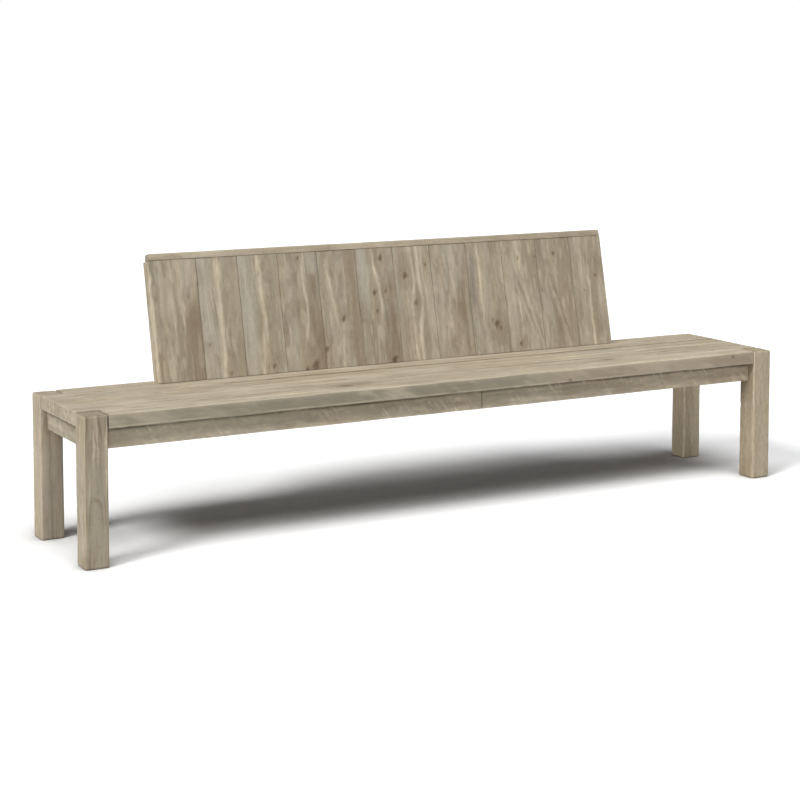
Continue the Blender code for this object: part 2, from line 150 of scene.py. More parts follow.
class Pattern(Enum):
    """A timber's own noises: lattice cells per metre along and across the grain, and a number."""

    WEAR = (9.0, 30.0, 1)
    DENTS = (45.0, 25.0, 2)
    HOLLOWS = (3.0, 38.0, 3)
    RIPPLES = (14.0, 120.0, 4)
    BENDS = (2.2, 7.0, 6)
    WAVES = (9.0, 30.0, 7)
    RING_SWAY = (2.6, 16.0, 8)
    RING_SHAKE = (11.0, 60.0, 9)
    BARBS = (34.0, 60.0, 17)
    # Breaks up the dark joints and the painted shade under the top.
    DIRT_AND_SHADE = (14.0, 9.0, 18)
    FINE_BARBS = (80.0, 150.0, 19)
    STREAK_SWAY = (6.0, 1.0, 20)
    TEARS = (7.0, 28.0, 30)
    STREAK_BREAKS = (16.0, 90.0, 70)


# Each layer of weathering: its tone, strength, cells per metre along and across, start and number.
WEATHERING = (
    (GREY, 0.60, 3.0, 13.0, 0.02, 11),
    (UMBER, 0.50, 3.6, 17.0, 0.08, 12),
    (PALE, 0.60, 6.0, 32.0, 0.12, 13),
    (SILVER, 0.50, 4.0, 24.0, 0.08, 15),
    (UMBER, 0.40, 9.0, 40.0, 0.10, 17),
    (UMBER, 0.46, 24.0, 80.0, 0.20, 14),
    (CREAM, 0.34, 18.0, 95.0, 0.20, 16),
)


@dataclass(frozen=True)
class Streak:
    """A band of another tone that runs with the grain.

    Places are shares of the timber's width and length; the width is in metres. A streak with a
    depth, in metres below the show face, reaches its sink from there; others go right through.
    """

    across: float
    width: float
    stain: Stain
    strength: float = 0.7
    start: float = -0.2
    end: float = 1.2
    wander: float = 0.004
    drift: float = 0.0
    depth: float | None = None
    sink: float = 0.004


@dataclass(frozen=True)
class Knot:
    """A knot, with its place as shares of length and width and its radius in metres.

    A knot with a depth, in metres below the show face, shows on a side face only.
    """

    along: float
    across: float
    radius: float
    darkness: float = 1.0
    depth: float | None = None


@dataclass(frozen=True)
class Figure:
    """An oval in the growth rings, where the saw grazed a swelling of the log.

    Its place is in shares of length and width, its reach in metres, its height in rings.
    """

    along: float
    across: float
    length: float
    width: float
    rings: float = 2.5


@dataclass(frozen=True)
class Check:
    """A drying crack on the show face, with its place as shares and its width in metres."""

    start: float
    end: float
    across: float
    width: float = 0.0009
    depth: float = 0.003


@dataclass(frozen=True)
class Growth:
    """Where the log's pith lay, which shapes the growth rings' lines on the faces.

    The pith's place across is a share of the width, and its depth below the show face is in
    metres. Rise and drift are how far it moves outwards and across over the timber's length.
    """

    across: float = 0.5
    depth: float = 0.070
    rise: float = 0.0
    drift: float = 0.0
    spacing: float = 0.0085
    unrest: float = 0.5


@dataclass(frozen=True)
class Character:
    """All that tells one timber from another of its kind."""

    seed: int
    stain: Stain = TAN
    streaks: tuple[Streak, ...] = ()
    knots: tuple[Knot, ...] = ()
    checks: tuple[Check, ...] = ()
    growth: Growth = Growth()
    shade: float = 1.0
    figures: tuple[Figure, ...] = ()


def bands(*rows: tuple, depth: float | None = None, sink: float = 0.004) -> tuple[Streak, ...]:
    """Streaks from rows of their first values, all with one depth and sink."""
    return tuple(Streak(*row, depth=depth, sink=sink) for row in rows)


def knots(*rows: tuple) -> tuple[Knot, ...]:
    """Knots from rows of their values."""
    return tuple(Knot(*row) for row in rows)


def checks(*rows: tuple) -> tuple[Check, ...]:
    """Drying cracks from rows of their values."""
    return tuple(Check(*row) for row in rows)


def plain_character(seed: int, stain: Stain, shade: float, knot_count: int) -> Character:
    """Draws a quiet character for a timber that the pattern of no single streak marks out.

    Args:
        seed: Fixes the draw.
        stain: The timber's main tone.
        shade: Lightens or darkens the whole timber.
        knot_count: How many small knots it has.

    Returns:
        The character.
    """
    source = np.random.default_rng(seed)
    tones = (CREAM, GREY, OLIVE, UMBER, PALE)

    def draw(low: float, high: float) -> float:
        """Draws the next number between two bounds."""
        return float(source.uniform(low, high))

    streaks = tuple(
        Streak(draw(0.0, 1.0), draw(0.004, 0.018), tones[int(source.integers(len(tones)))], draw(0.2, 0.5))
        for _ in tones
    )
    marks = tuple(
        Knot(draw(0.08, 0.92), draw(0.15, 0.85), draw(0.004, 0.008), draw(0.5, 0.9))
        for _ in range(knot_count)
    )
    growth = Growth(
        draw(0.1, 0.9), draw(0.03, 0.09), draw(-0.05, 0.05), draw(-0.03, 0.03), draw(0.006, 0.010)
    )
    return Character(seed, stain, streaks, marks, (), growth, shade)


# The looks of the bench's own timbers, place by place

POST_LOOKS = {
    "post_front_left": Character(
        41, TAN,
        # Painted shade, partly an olive tint: these bands darken the whole front face.
        bands((0.5, 0.09, OLIVE, 0.85), (0.5, 0.09, UMBER, 0.3), depth=0.0)
        + bands(
            (0.14, 0.004, UMBER, 0.6, -0.2, 0.4), (0.27, 0.002, UMBER, 0.8, 0.0, 0.36, 0.004, -0.01),
            (0.34, 0.003, CREAM, 0.95, 0.0, 0.34, 0.004, -0.01), (0.5, 0.006, UMBER, 0.55, 0.0, 0.25),
            (0.66, 0.003, CREAM, 0.75, 0.0, 0.32, 0.005, 0.02),
            (0.72, 0.002, UMBER, 0.8, 0.0, 0.4, 0.005, 0.02),
            (0.9, 0.003, CREAM, 0.9, 0.05, 0.46, 0.003), (0.2, 0.003, CREAM, 0.6, 0.32, 0.6, 0.004),
            (0.3, 0.008, ROSE, 0.7, 0.36, 0.5), (0.4, 0.016, OLIVE, 0.5, 0.2, 1.0),
            (0.15, 0.006, UMBER, 0.4, 0.62, 1.2), (0.75, 0.008, GREY, 0.5, 0.3, 1.2),
            depth=0.0, sink=0.012,
        ),
        (), (), Growth(0.45, 0.03, 0.02, 0.008, 0.008, 0.9), 1.0,
        (Figure(0.4, 0.5, 0.055, 0.015, 2.6),),
    ),
    "post_rear_left": Character(
        47, TAN,
        # Painted shade: the smoke band darkens the front face against the lighter left face.
        bands((0.5, 0.09, SMOKE, 0.8), depth=0.0)
        + bands(
            (0.15, 0.01, ROSE, 0.4), (0.4, 0.003, UMBER, 0.6), (0.52, 0.003, UMBER, 0.5),
            (0.72, 0.003, UMBER, 0.6), (0.6, 0.005, CREAM, 0.3, 0.1, 0.4), (0.85, 0.012, UMBER, 0.4),
            depth=0.0, sink=0.012,
        ),
        knots((0.18, 0.62, 0.004, 0.5)), (), Growth(0.2, 0.06, 0.01, -0.01, 0.0065, 0.5), 1.1,
    ),
    "post_front_right": Character(
        53, TAN,
        # Painted shade: the umber band at across 0 darkens the post's inner left face, under the seat.
        bands((0.5, 0.1, STRAW, 0.6), (0.0, 0.01, UMBER, 0.8))
        # Painted highlight: a cream line near the front face's left arris.
        + bands((0.06, 0.003, CREAM, 0.6), depth=0.0)
        + bands(
            (0.3, 0.02, ROSE, 0.6), (0.55, 0.01, PALE, 0.5), (0.85, 0.014, UMBER, 0.2, 0.6, 1.2),
            depth=0.0, sink=0.012,
        ),
        knots((0.62, 0.35, 0.005, 0.4)), (), Growth(1.4, 0.12, -0.02, 0.01, 0.013, 0.4), 1.06,
    ),
    "post_rear_right": Character(
        59, TAN,
        bands((0.5, 0.1, STRAW, 0.8))
        # Painted light: pale and cream bands lighten the front face, which stands in shade under the seat;
        # the shade of 1.22 is partly a lighter timber, partly painted light.
        + bands((0.5, 0.09, PALE, 0.45), (0.5, 0.09, CREAM, 0.34), depth=0.0)
        # Painted highlight: a cream line along the front face's left arris.
        + bands((0.03, 0.003, CREAM, 0.8), depth=0.0, sink=0.005)
        + bands((0.25, 0.01, UMBER, 0.25), (0.7, 0.008, CREAM, 0.3, 0.1, 0.8), depth=0.0, sink=0.012),
        knots((0.55, 0.4, 0.004, 0.4)), (), Growth(-0.3, 0.1, 0.015, 0.01, 0.012, 0.4), 1.22,
    ),
}

APRON_LOOKS = {
    # Partly a paler sawn timber, partly painted light: the front aprons' shades of 1.41 and 1.47 lighten
    # them against the shade under the seat's overhang.
    "apron_front_left": Character(
        61, TAN,
        bands(
            (0.04, 0.004, PALE, 0.35), (0.85, 0.012, OLIVE, 0.5, -0.2, 0.5),
            (0.5, 0.015, GREY, 0.5, 0.2, 0.7), (0.4, 0.01, CREAM, 0.3, 0.05, 0.3),
            (0.5, 0.04, PALE, 0.55, -0.2, 0.35),
        ),
        (), (), Growth(0.5, 0.09, 0.04, 0.02, 0.009, 0.9), 1.41,
    ),
    "apron_front_right": Character(
        67, TAN,
        bands(
            (0.06, 0.004, PALE, 0.35, 0.1, 1.0), (0.6, 0.016, OLIVE, 0.5, -0.2, 0.3),
            (0.5, 0.014, SMOKE, 0.3, 0.3, 0.45), (0.3, 0.01, CREAM, 0.35, 0.1, 0.22),
            (0.55, 0.01, PALE, 0.5, 0.65, 1.0),
        ),
        (), (), Growth(0.6, 0.08, -0.05, 0.02, 0.009, 0.9), 1.47,
    ),
    "apron_end_left": plain_character(71, PALE, 0.92, 0),
    "apron_end_right": plain_character(73, PALE, 0.92, 1),
    "apron_rear": plain_character(79, TAN, 1.0, 4),
}

SEAT_LOOKS = (
    Character(
        101, PALE,
        bands((0.06, 0.012, CREAM, 0.45))
        # Painted shade, partly an olive and rose tint: these bands and the two umber ones below darken the
        # fascia, the front board's front face.
        + bands(
            (0.0, 0.005, OLIVE, 1.0, -0.2, 0.62), (0.0, 0.004, MOSS, 1.0, -0.2, 0.62),
            (0.0, 0.005, ROSE, 0.85, 0.66, 1.2),
            depth=0.024, sink=0.03,
        )
        + bands((0.0, 0.004, UMBER, 0.55, 0.66, 1.2), depth=0.024, sink=0.026)
        + bands((0.0, 0.004, UMBER, 0.35), depth=0.036, sink=0.0035)
        # Painted highlight: a cream line along the fascia's lower arris.
        + bands((0.0, 0.004, CREAM, 0.5), depth=0.0395, sink=0.0018)
        # Painted shadow of the gap under the seat board, partly a darker lower arris.
        + bands((0.0, 0.004, DIRT_AND_SHADE, 0.95), depth=0.044, sink=0.0018)
        # Painted highlight: a cream line along the board's top front arris.
        + bands((0.0, 0.004, CREAM, 0.45), depth=0.002, sink=0.0026)
        + bands(
            (0.3, 0.01, CREAM, 0.45, 0.02, 0.35), (0.48, 0.016, TAN, 0.5, 0.1, 0.8),
            (0.78, 0.02, TAN, 0.4, 0.25, 1.0), (0.64, 0.008, UMBER, 0.25, 0.45, 0.75),
            (0.2, 0.012, ROSE, 0.35, 0.55, 1.0),
        ),
        knots(
            (0.353, 0.6, 0.018, 1.0), (0.755, 0.7, 0.015, 0.8), (0.935, 0.0, 0.0085, 1.0, 0.012),
            (0.665, 0.0, 0.009, 0.9, 0.036), (0.49, 0.0, 0.009, 0.6, 0.036), (0.16, 0.55, 0.01, 0.6),
        ),
        checks((0.925, 0.945, 0.03), (0.6, 0.66, 0.3)), Growth(0.55, 0.075, 0.05, 0.03, 0.0085, 0.5),
        0.91,
    ),
    Character(
        103, TAN,
        bands(
            (0.0, 0.012, UMBER, 0.45, 0.45, 1.2), (0.0, 0.004, DIRT_AND_SHADE, 0.55, 0.4, 1.2),
            (0.15, 0.02, PALE, 0.6), (0.3, 0.012, UMBER, 0.35, 0.62, 1.0),
            (0.45, 0.012, CREAM, 0.35, 0.2, 0.9), (0.7, 0.016, OLIVE, 0.35, 0.3, 1.0),
            (0.88, 0.01, PALE, 0.5, -0.1, 0.5),
        ),
        knots((0.545, 0.42, 0.011, 0.7), (0.83, 0.55, 0.01, 0.7), (0.13, 0.7, 0.009, 0.7)),
        checks((0.7, 0.75, 0.62)), Growth(0.3, 0.07, -0.06, 0.04, 0.008, 0.5), 0.95,
    ),
    Character(
        107, TAN,
        bands(
            (0.0, 0.018, UMBER, 0.85, 0.3, 1.2), (0.0, 0.005, DIRT_AND_SHADE, 0.85, 0.24, 1.2),
            (0.3, 0.012, UMBER, 0.45, 0.3, 0.75), (0.62, 0.012, OLIVE, 0.5, 0.5, 1.2),
            (0.45, 0.022, PALE, 0.5), (0.8, 0.016, ROSE, 0.4, -0.1, 0.3),
        ),
        knots((0.07, 0.35, 0.01, 0.6), (0.9, 0.45, 0.012, 0.7)), (),
        Growth(0.65, 0.08, 0.04, -0.03, 0.0085, 0.5), 0.93,
    ),
)

BOARD_LOOKS = (
    (
        bands(
            (0.22, 0.02, PALE, 0.35), (0.36, 0.007, CREAM, 0.45, 0.0, 0.6),
            # Painted highlight: the cream band at across 0 lightens the board's left arris, at the back's
            # end.
            (0.62, 0.005, CREAM, 0.8, 0.0, 0.62), (0.0, 0.004, CREAM, 0.9, 0.1),
            (0.86, 0.026, UMBER, 0.85, 0.25, 1.2), (0.5, 0.01, UMBER, 0.45, 0.5, 1.2),
            (0.14, 0.014, SMOKE, 0.5, 0.5, 0.7), (0.42, 0.005, CREAM, 0.55, 0.3, 0.6, 0.004, 0.02),
        ),
        (), (), Growth(0.1, 0.05, 0.02, 0.01, 0.009, 0.5),
    ),
    (
        bands(
            (0.14, 0.034, SILVER, 1.0, -0.2, 0.72), (0.86, 0.022, ROSE, 0.6, -0.2, 0.45),
            (0.2, 0.024, GREY, 0.7, 0.6, 1.2), (0.5, 0.0085, CREAM, 1.0, 0.04, 1.2, 0.002),
            (0.44, 0.007, PALE, 0.7, 0.1, 0.9), (0.82, 0.024, OLIVE, 0.75),
            (0.66, 0.006, UMBER, 0.4, 0.3, 1.0),
        ),
        knots((0.72, 0.16, 0.0075, 0.632), (0.97, 0.62, 0.009, 0.69)), checks((0.6, 0.7, 0.56)),
        Growth(0.9, 0.06, -0.02, 0.01, 0.0095, 0.4), 1.02,
    ),
    (
        bands(
            (0.12, 0.028, SILVER, 1.0), (0.3, 0.012, GREY, 0.5),
            (0.56, 0.006, CREAM, 0.9, 0.0, 0.65, 0.006, 0.006),
            (0.5, 0.007, CREAM, 0.7, 0.68, 1.2, 0.006, -0.02), (0.85, 0.022, OLIVE, 0.75),
            (0.76, 0.01, SMOKE, 0.25, 0.2, 0.6),
        ),
        knots((0.94, 0.68, 0.009, 0.92), (0.16, 0.5, 0.0045, 0.575)), (),
        Growth(0.55, 0.024, 0.03, 0.01, 0.008, 0.7),
    ),
    (
        bands(
            (0.15, 0.012, PALE, 0.35), (0.6, 0.0055, CREAM, 0.9, 0.02, 0.72, 0.003, 0.004),
            (0.83, 0.026, UMBER, 0.95, 0.2, 1.2), (0.98, 0.008, SMOKE, 0.5, -0.2, 0.4),
            (0.38, 0.014, OLIVE, 0.45, 0.2, 0.8),
        ),
        knots(
            (0.05, 0.52, 0.0067, 0.92), (0.48, 0.4, 0.012, 0.402), (0.965, 0.72, 0.018, 1),
            (0.99, 0.5, 0.009, 0.92),
        ),
        (), Growth(0.2, 0.055, 0.02, 0.015, 0.009, 0.5), 0.98,
    ),
    (
        bands(
            (0.4, 0.004, CREAM, 0.75, 0.15, 0.36, 0.002, 0.06),
            (0.36, 0.004, CREAM, 0.75, 0.38, 0.6, 0.002, 0.075),
            (0.58, 0.004, CREAM, 0.55, 0.62, 1.2, 0.003, -0.02), (0.86, 0.02, UMBER, 0.6),
            (0.1, 0.016, OLIVE, 0.45, -0.2, 0.5), (0.5, 0.005, UMBER, 0.6, 0.1, 0.34, 0.002, 0.06),
            (0.46, 0.005, UMBER, 0.5, 0.36, 0.58, 0.002, 0.075),
        ),
        knots((0.59, 0.55, 0.0097, 1), (0.835, 0.05, 0.009, 0.977), (0.93, 0.12, 0.006, 0.46)), (),
        Growth(0.62, 0.02, -0.045, 0.03, 0.0085, 0.6), 0.97,
    ),
    (
        bands(
            (0.18, 0.03, SILVER, 1.0, -0.2, 0.48), (0.22, 0.02, GREY, 0.45, 0.4, 1.2),
            (0.52, 0.006, CREAM, 0.9, 0.08, 0.58, 0.005), (0.42, 0.007, CREAM, 0.45, 0.6, 1.2, 0.004),
            (0.82, 0.028, UMBER, 0.95, 0.25, 1.2), (0.88, 0.016, GREY, 0.45, -0.2, 0.3),
        ),
        knots(
            (0.09, 0.66, 0.0112, 0.977), (0.385, 0.42, 0.0097, 1), (0.375, 0.72, 0.0075, 0.862),
            (0.545, 0.46, 0.0075, 0.92), (0.975, 0.78, 0.0135, 1),
        ),
        (), Growth(0.5, 0.03, 0.02, 0.0, 0.0085, 0.7), 0.97,
    ),
    (
        bands(
            (0.1, 0.024, ROSE, 0.75), (0.04, 0.012, GREY, 0.6),
            (0.44, 0.006, CREAM, 0.9, -0.2, 1.2, 0.006), (0.6, 0.007, CREAM, 0.85, -0.2, 1.2, 0.01),
            (0.86, 0.012, PALE, 0.5),
        ),
        knots((0.255, 0.28, 0.0112, 1), (0.495, 0.5, 0.0105, 0.862), (0.17, 0.86, 0.006, 0.805)), (),
        Growth(0.52, 0.022, 0.02, 0.01, 0.008, 0.8), 0.99,
    ),
    (
        bands(
            (0.2, 0.012, PALE, 0.4), (0.45, 0.005, CREAM, 0.35, 0.4, 0.8),
            (0.8, 0.016, UMBER, 0.45, 0.3, 1.2), (0.94, 0.007, SMOKE, 0.45, 0.1, 0.8),
            (0.35, 0.014, OLIVE, 0.4, 0.8, 1.2),
        ),
        knots((0.95, 0.45, 0.018, 0.345), (0.7, 0.62, 0.0045, 0.575)),
        checks((0.55, 0.98, 0.86, 0.0008)), Growth(0.15, 0.065, 0.02, 0.02, 0.0085, 0.5),
    ),
    (
        bands(
            (0.1, 0.013, SMOKE, 0.9, 0.08, 0.62, 0.002), (0.12, 0.014, GREY, 0.7, 0.6, 1.2),
            (0.32, 0.0065, CREAM, 0.95, 0.02, 0.74, 0.003, 0.006), (0.6, 0.012, UMBER, 0.3, 0.2, 0.35),
            (0.8, 0.018, OLIVE, 0.45),
        ),
        knots((0.735, 0.68, 0.0142, 1), (0.7, 0.56, 0.0075, 0.862), (0.775, 0.78, 0.0075, 0.862)),
        checks((0.7, 1.0, 0.045, 0.0008)), Growth(0.55, 0.035, 0.02, 0.01, 0.0085, 0.6),
    ),
    (
        bands(
            (0.46, 0.005, CREAM, 0.8, -0.2, 0.25), (0.36, 0.004, CREAM, 0.7, 0.5, 0.75),
            (0.1, 0.014, PALE, 0.4), (0.44, 0.005, PALE, 0.9, 0.35, 0.85, 0.001, 0.12),
            (0.52, 0.005, UMBER, 0.7, 0.35, 0.9, 0.001, 0.12),
            (0.6, 0.005, PALE, 0.9, 0.35, 1.0, 0.001, 0.11),
            (0.7, 0.005, UMBER, 0.6, 0.4, 1.2, 0.001, 0.1),
            (0.8, 0.005, PALE, 0.8, 0.45, 1.2, 0.001, 0.09),
        ),
        knots((0.165, 0.46, 0.006, 0.862), (0.16, 0.95, 0.006, 0.747), (0.93, 0.3, 0.009, 0.92)), (),
        Growth(0.35, 0.018, 0.075, 0.05, 0.0065, 0.3),
    ),
    (
        bands(
            (0.25, 0.016, OLIVE, 0.45), (0.5, 0.006, PALE, 0.6, -0.2, 0.4),
            (0.4, 0.005, PALE, 0.9, 0.4, 1.0, 0.001, 0.1),
            (0.48, 0.005, UMBER, 0.75, 0.4, 1.0, 0.001, 0.1),
            (0.28, 0.005, UMBER, 0.5, 0.45, 1.0, 0.001, 0.09), (0.85, 0.012, UMBER, 0.35, 0.5, 1.2),
        ),
        knots((0.14, 0.52, 0.0067, 0.977), (0.47, 0.08, 0.006, 0.69)), (),
        Growth(0.4, 0.02, 0.065, 0.04, 0.007, 0.4), 0.99,
    ),
    (
        bands(
            (0.3, 0.024, PALE, 0.45), (0.52, 0.006, CREAM, 0.8, 0.3, 1.2, 0.003),
            (0.9, 0.014, ROSE, 0.5), (0.86, 0.016, SMOKE, 0.3, 0.65, 0.95),
            (0.72, 0.008, UMBER, 0.3, 0.3, 0.9),
        ),
        knots((0.365, 0.72, 0.0053, 0.862), (0.495, 0.34, 0.0053, 0.69)), (),
        Growth(0.85, 0.06, 0.02, 0.01, 0.0085, 0.5), 1.02,
    ),
)

CAP_LOOK = Character(
    13, TAN,
    bands(
        (0.0, 0.005, PALE, 0.35, 0.3, 0.7), (0.0, 0.006, UMBER, 0.3, 0.55, 1.2),
        (0.55, 0.01, UMBER, 0.5, -0.2, 0.45), (0.7, 0.01, CREAM, 0.4, 0.4, 1.2),
        (0.4, 0.006, UMBER, 0.4, 0.5, 0.9),
    ),
    knots((0.37, 0.1, 0.006, 0.5), (0.88, 0.3, 0.005, 0.7)), (),
    Growth(0.4, 0.06, 0.05, 0.02, 0.008, 0.6),
)


# Node trees and finishes


class Sketch:
    """A small pen for node trees: each call adds a node and gives back its output."""

    def __init__(self, tree: bpy.types.NodeTree) -> None:
        """Starts on an empty tree."""
        self.tree = tree
        tree.nodes.clear()

    def node(self, kind: str, inputs: dict | None = None, **settings: object) -> bpy.types.Node:
        """Adds a node.

        Args:
            kind: The node's type name.
            inputs: What to set or link on its input sockets, by name or number.
            **settings: The node's own properties.

        Returns:
            The new node.
        """
        made = self.tree.nodes.new(kind)
        for name, value in settings.items():
            setattr(made, name, value)
        for key, value in (inputs or {}).items():
            self.put(made.inputs[key], value)
        return made

    def put(self, socket: Socket, value: object) -> None:
        """Links an output to a socket, or sets the socket's own value."""
        if isinstance(value, bpy.types.NodeSocket):
            self.tree.links.new(value, socket)
        else:
            socket.default_value = value

    def math(self, operation: str, *values: object, clamp: bool = False) -> Socket:
        """Works out a number from one, two or three others."""
        inputs = dict(enumerate(values))
        return self.node("ShaderNodeMath", inputs, operation=operation, use_clamp=clamp).outputs[0]

    def times(self, first: object, second: object) -> Socket:
        """Multiplies two numbers."""
        return self.math("MULTIPLY", first, second)

    def added(self, value: object, weight: object, total: object) -> Socket:
        """Adds a weighted number to a total."""
        return self.math("MULTIPLY_ADD", value, weight, total)

    def ease(self, value: object, low: float, high: float) -> Socket:
        """Rises smoothly from 0 at low to 1 at high."""
        inputs = {"Value": value, "From Min": low, "From Max": high}
        return self.node("ShaderNodeMapRange", inputs, interpolation_type="SMOOTHSTEP").outputs["Result"]

    def spread(self, value: object, low: float, high: float) -> Socket:
        """Stretches a number from 0 to 1 over another range."""
        inputs = {"Value": value, "To Min": low, "To Max": high}
        return self.node("ShaderNodeMapRange", inputs).outputs["Result"]

    def noise(self, place: object, scale: Triple, detail: float, rough: float = 0.5) -> Socket:
        """Noise from 0 to 1 at a place that is scaled along each axis first."""
        scaled = self.node("ShaderNodeMapping", {"Vector": place, "Scale": scale}).outputs["Vector"]
        inputs = {"Vector": scaled, "Scale": 1.0, "Detail": detail, "Roughness": rough}
        return self.node("ShaderNodeTexNoise", inputs).outputs["Fac"]

    def blend(self, share: object, first: object, second: object, kind: str = "MIX") -> Socket:
        """Mixes two colours.

        Args:
            share: How much of the second colour shows.
            first: The first colour.
            second: The second colour.
            kind: The way of mixing them.

        Returns:
            The mixed colour.
        """
        made = self.node("ShaderNodeMix", data_type="RGBA", blend_type=kind)
        for number, value in ((0, share), (6, first), (7, second)):
            self.put(made.inputs[number], value)
        return made.outputs[2]

    def scaled(self, vector: object, factor: object) -> Socket:
        """Scales a vector or colour by a number."""
        inputs = {0: vector, "Scale": factor}
        return self.node("ShaderNodeVectorMath", inputs, operation="SCALE").outputs["Vector"]

    def attribute(self, name: str, output: str) -> Socket:
        """Reads one of the mesh's attributes."""
        return self.node("ShaderNodeAttribute", attribute_name=name).outputs[output]

    def place(self) -> Socket:
        """The place on the piece."""
        return self.node("ShaderNodeTexCoord").outputs["Object"]

    def seen(self) -> Socket:
        """1 for rays from the camera and for those mirrored or let through, and 0 for light's own."""
        rays = self.node("ShaderNodeLightPath").outputs
        share = self.math("ADD", rays["Is Camera Ray"], rays["Is Glossy Ray"])
        return self.math("ADD", share, rays["Is Transmission Ray"], clamp=True)


@dataclass(frozen=True)
class Finish:
    """A surface, drawn as a material the first time that it is asked for."""

    name: str

    def material(self) -> bpy.types.Material:
        """Makes the finish's material, or finds the one that was made before.

        Returns:
            The material, which is made the first time.
        """
        made = bpy.data.materials.get(self.name)
        if made is None:
            made = bpy.data.materials.new(self.name)
            made.use_nodes = True
            pen = Sketch(made.node_tree)
            pen.node("ShaderNodeOutputMaterial", {"Surface": self.surface(pen)})
        return made

    def surface(self, pen: Sketch) -> Socket:
        """Draws the surface's nodes and gives back its shader."""
        raise NotImplementedError


@dataclass(frozen=True)
class Grain:
    """The noises that a wood finish's colour and bump share."""

    fibre: Socket
    fine: Socket
    broad: Socket
    ticks: Socket
    rings: Socket
    saw: Socket


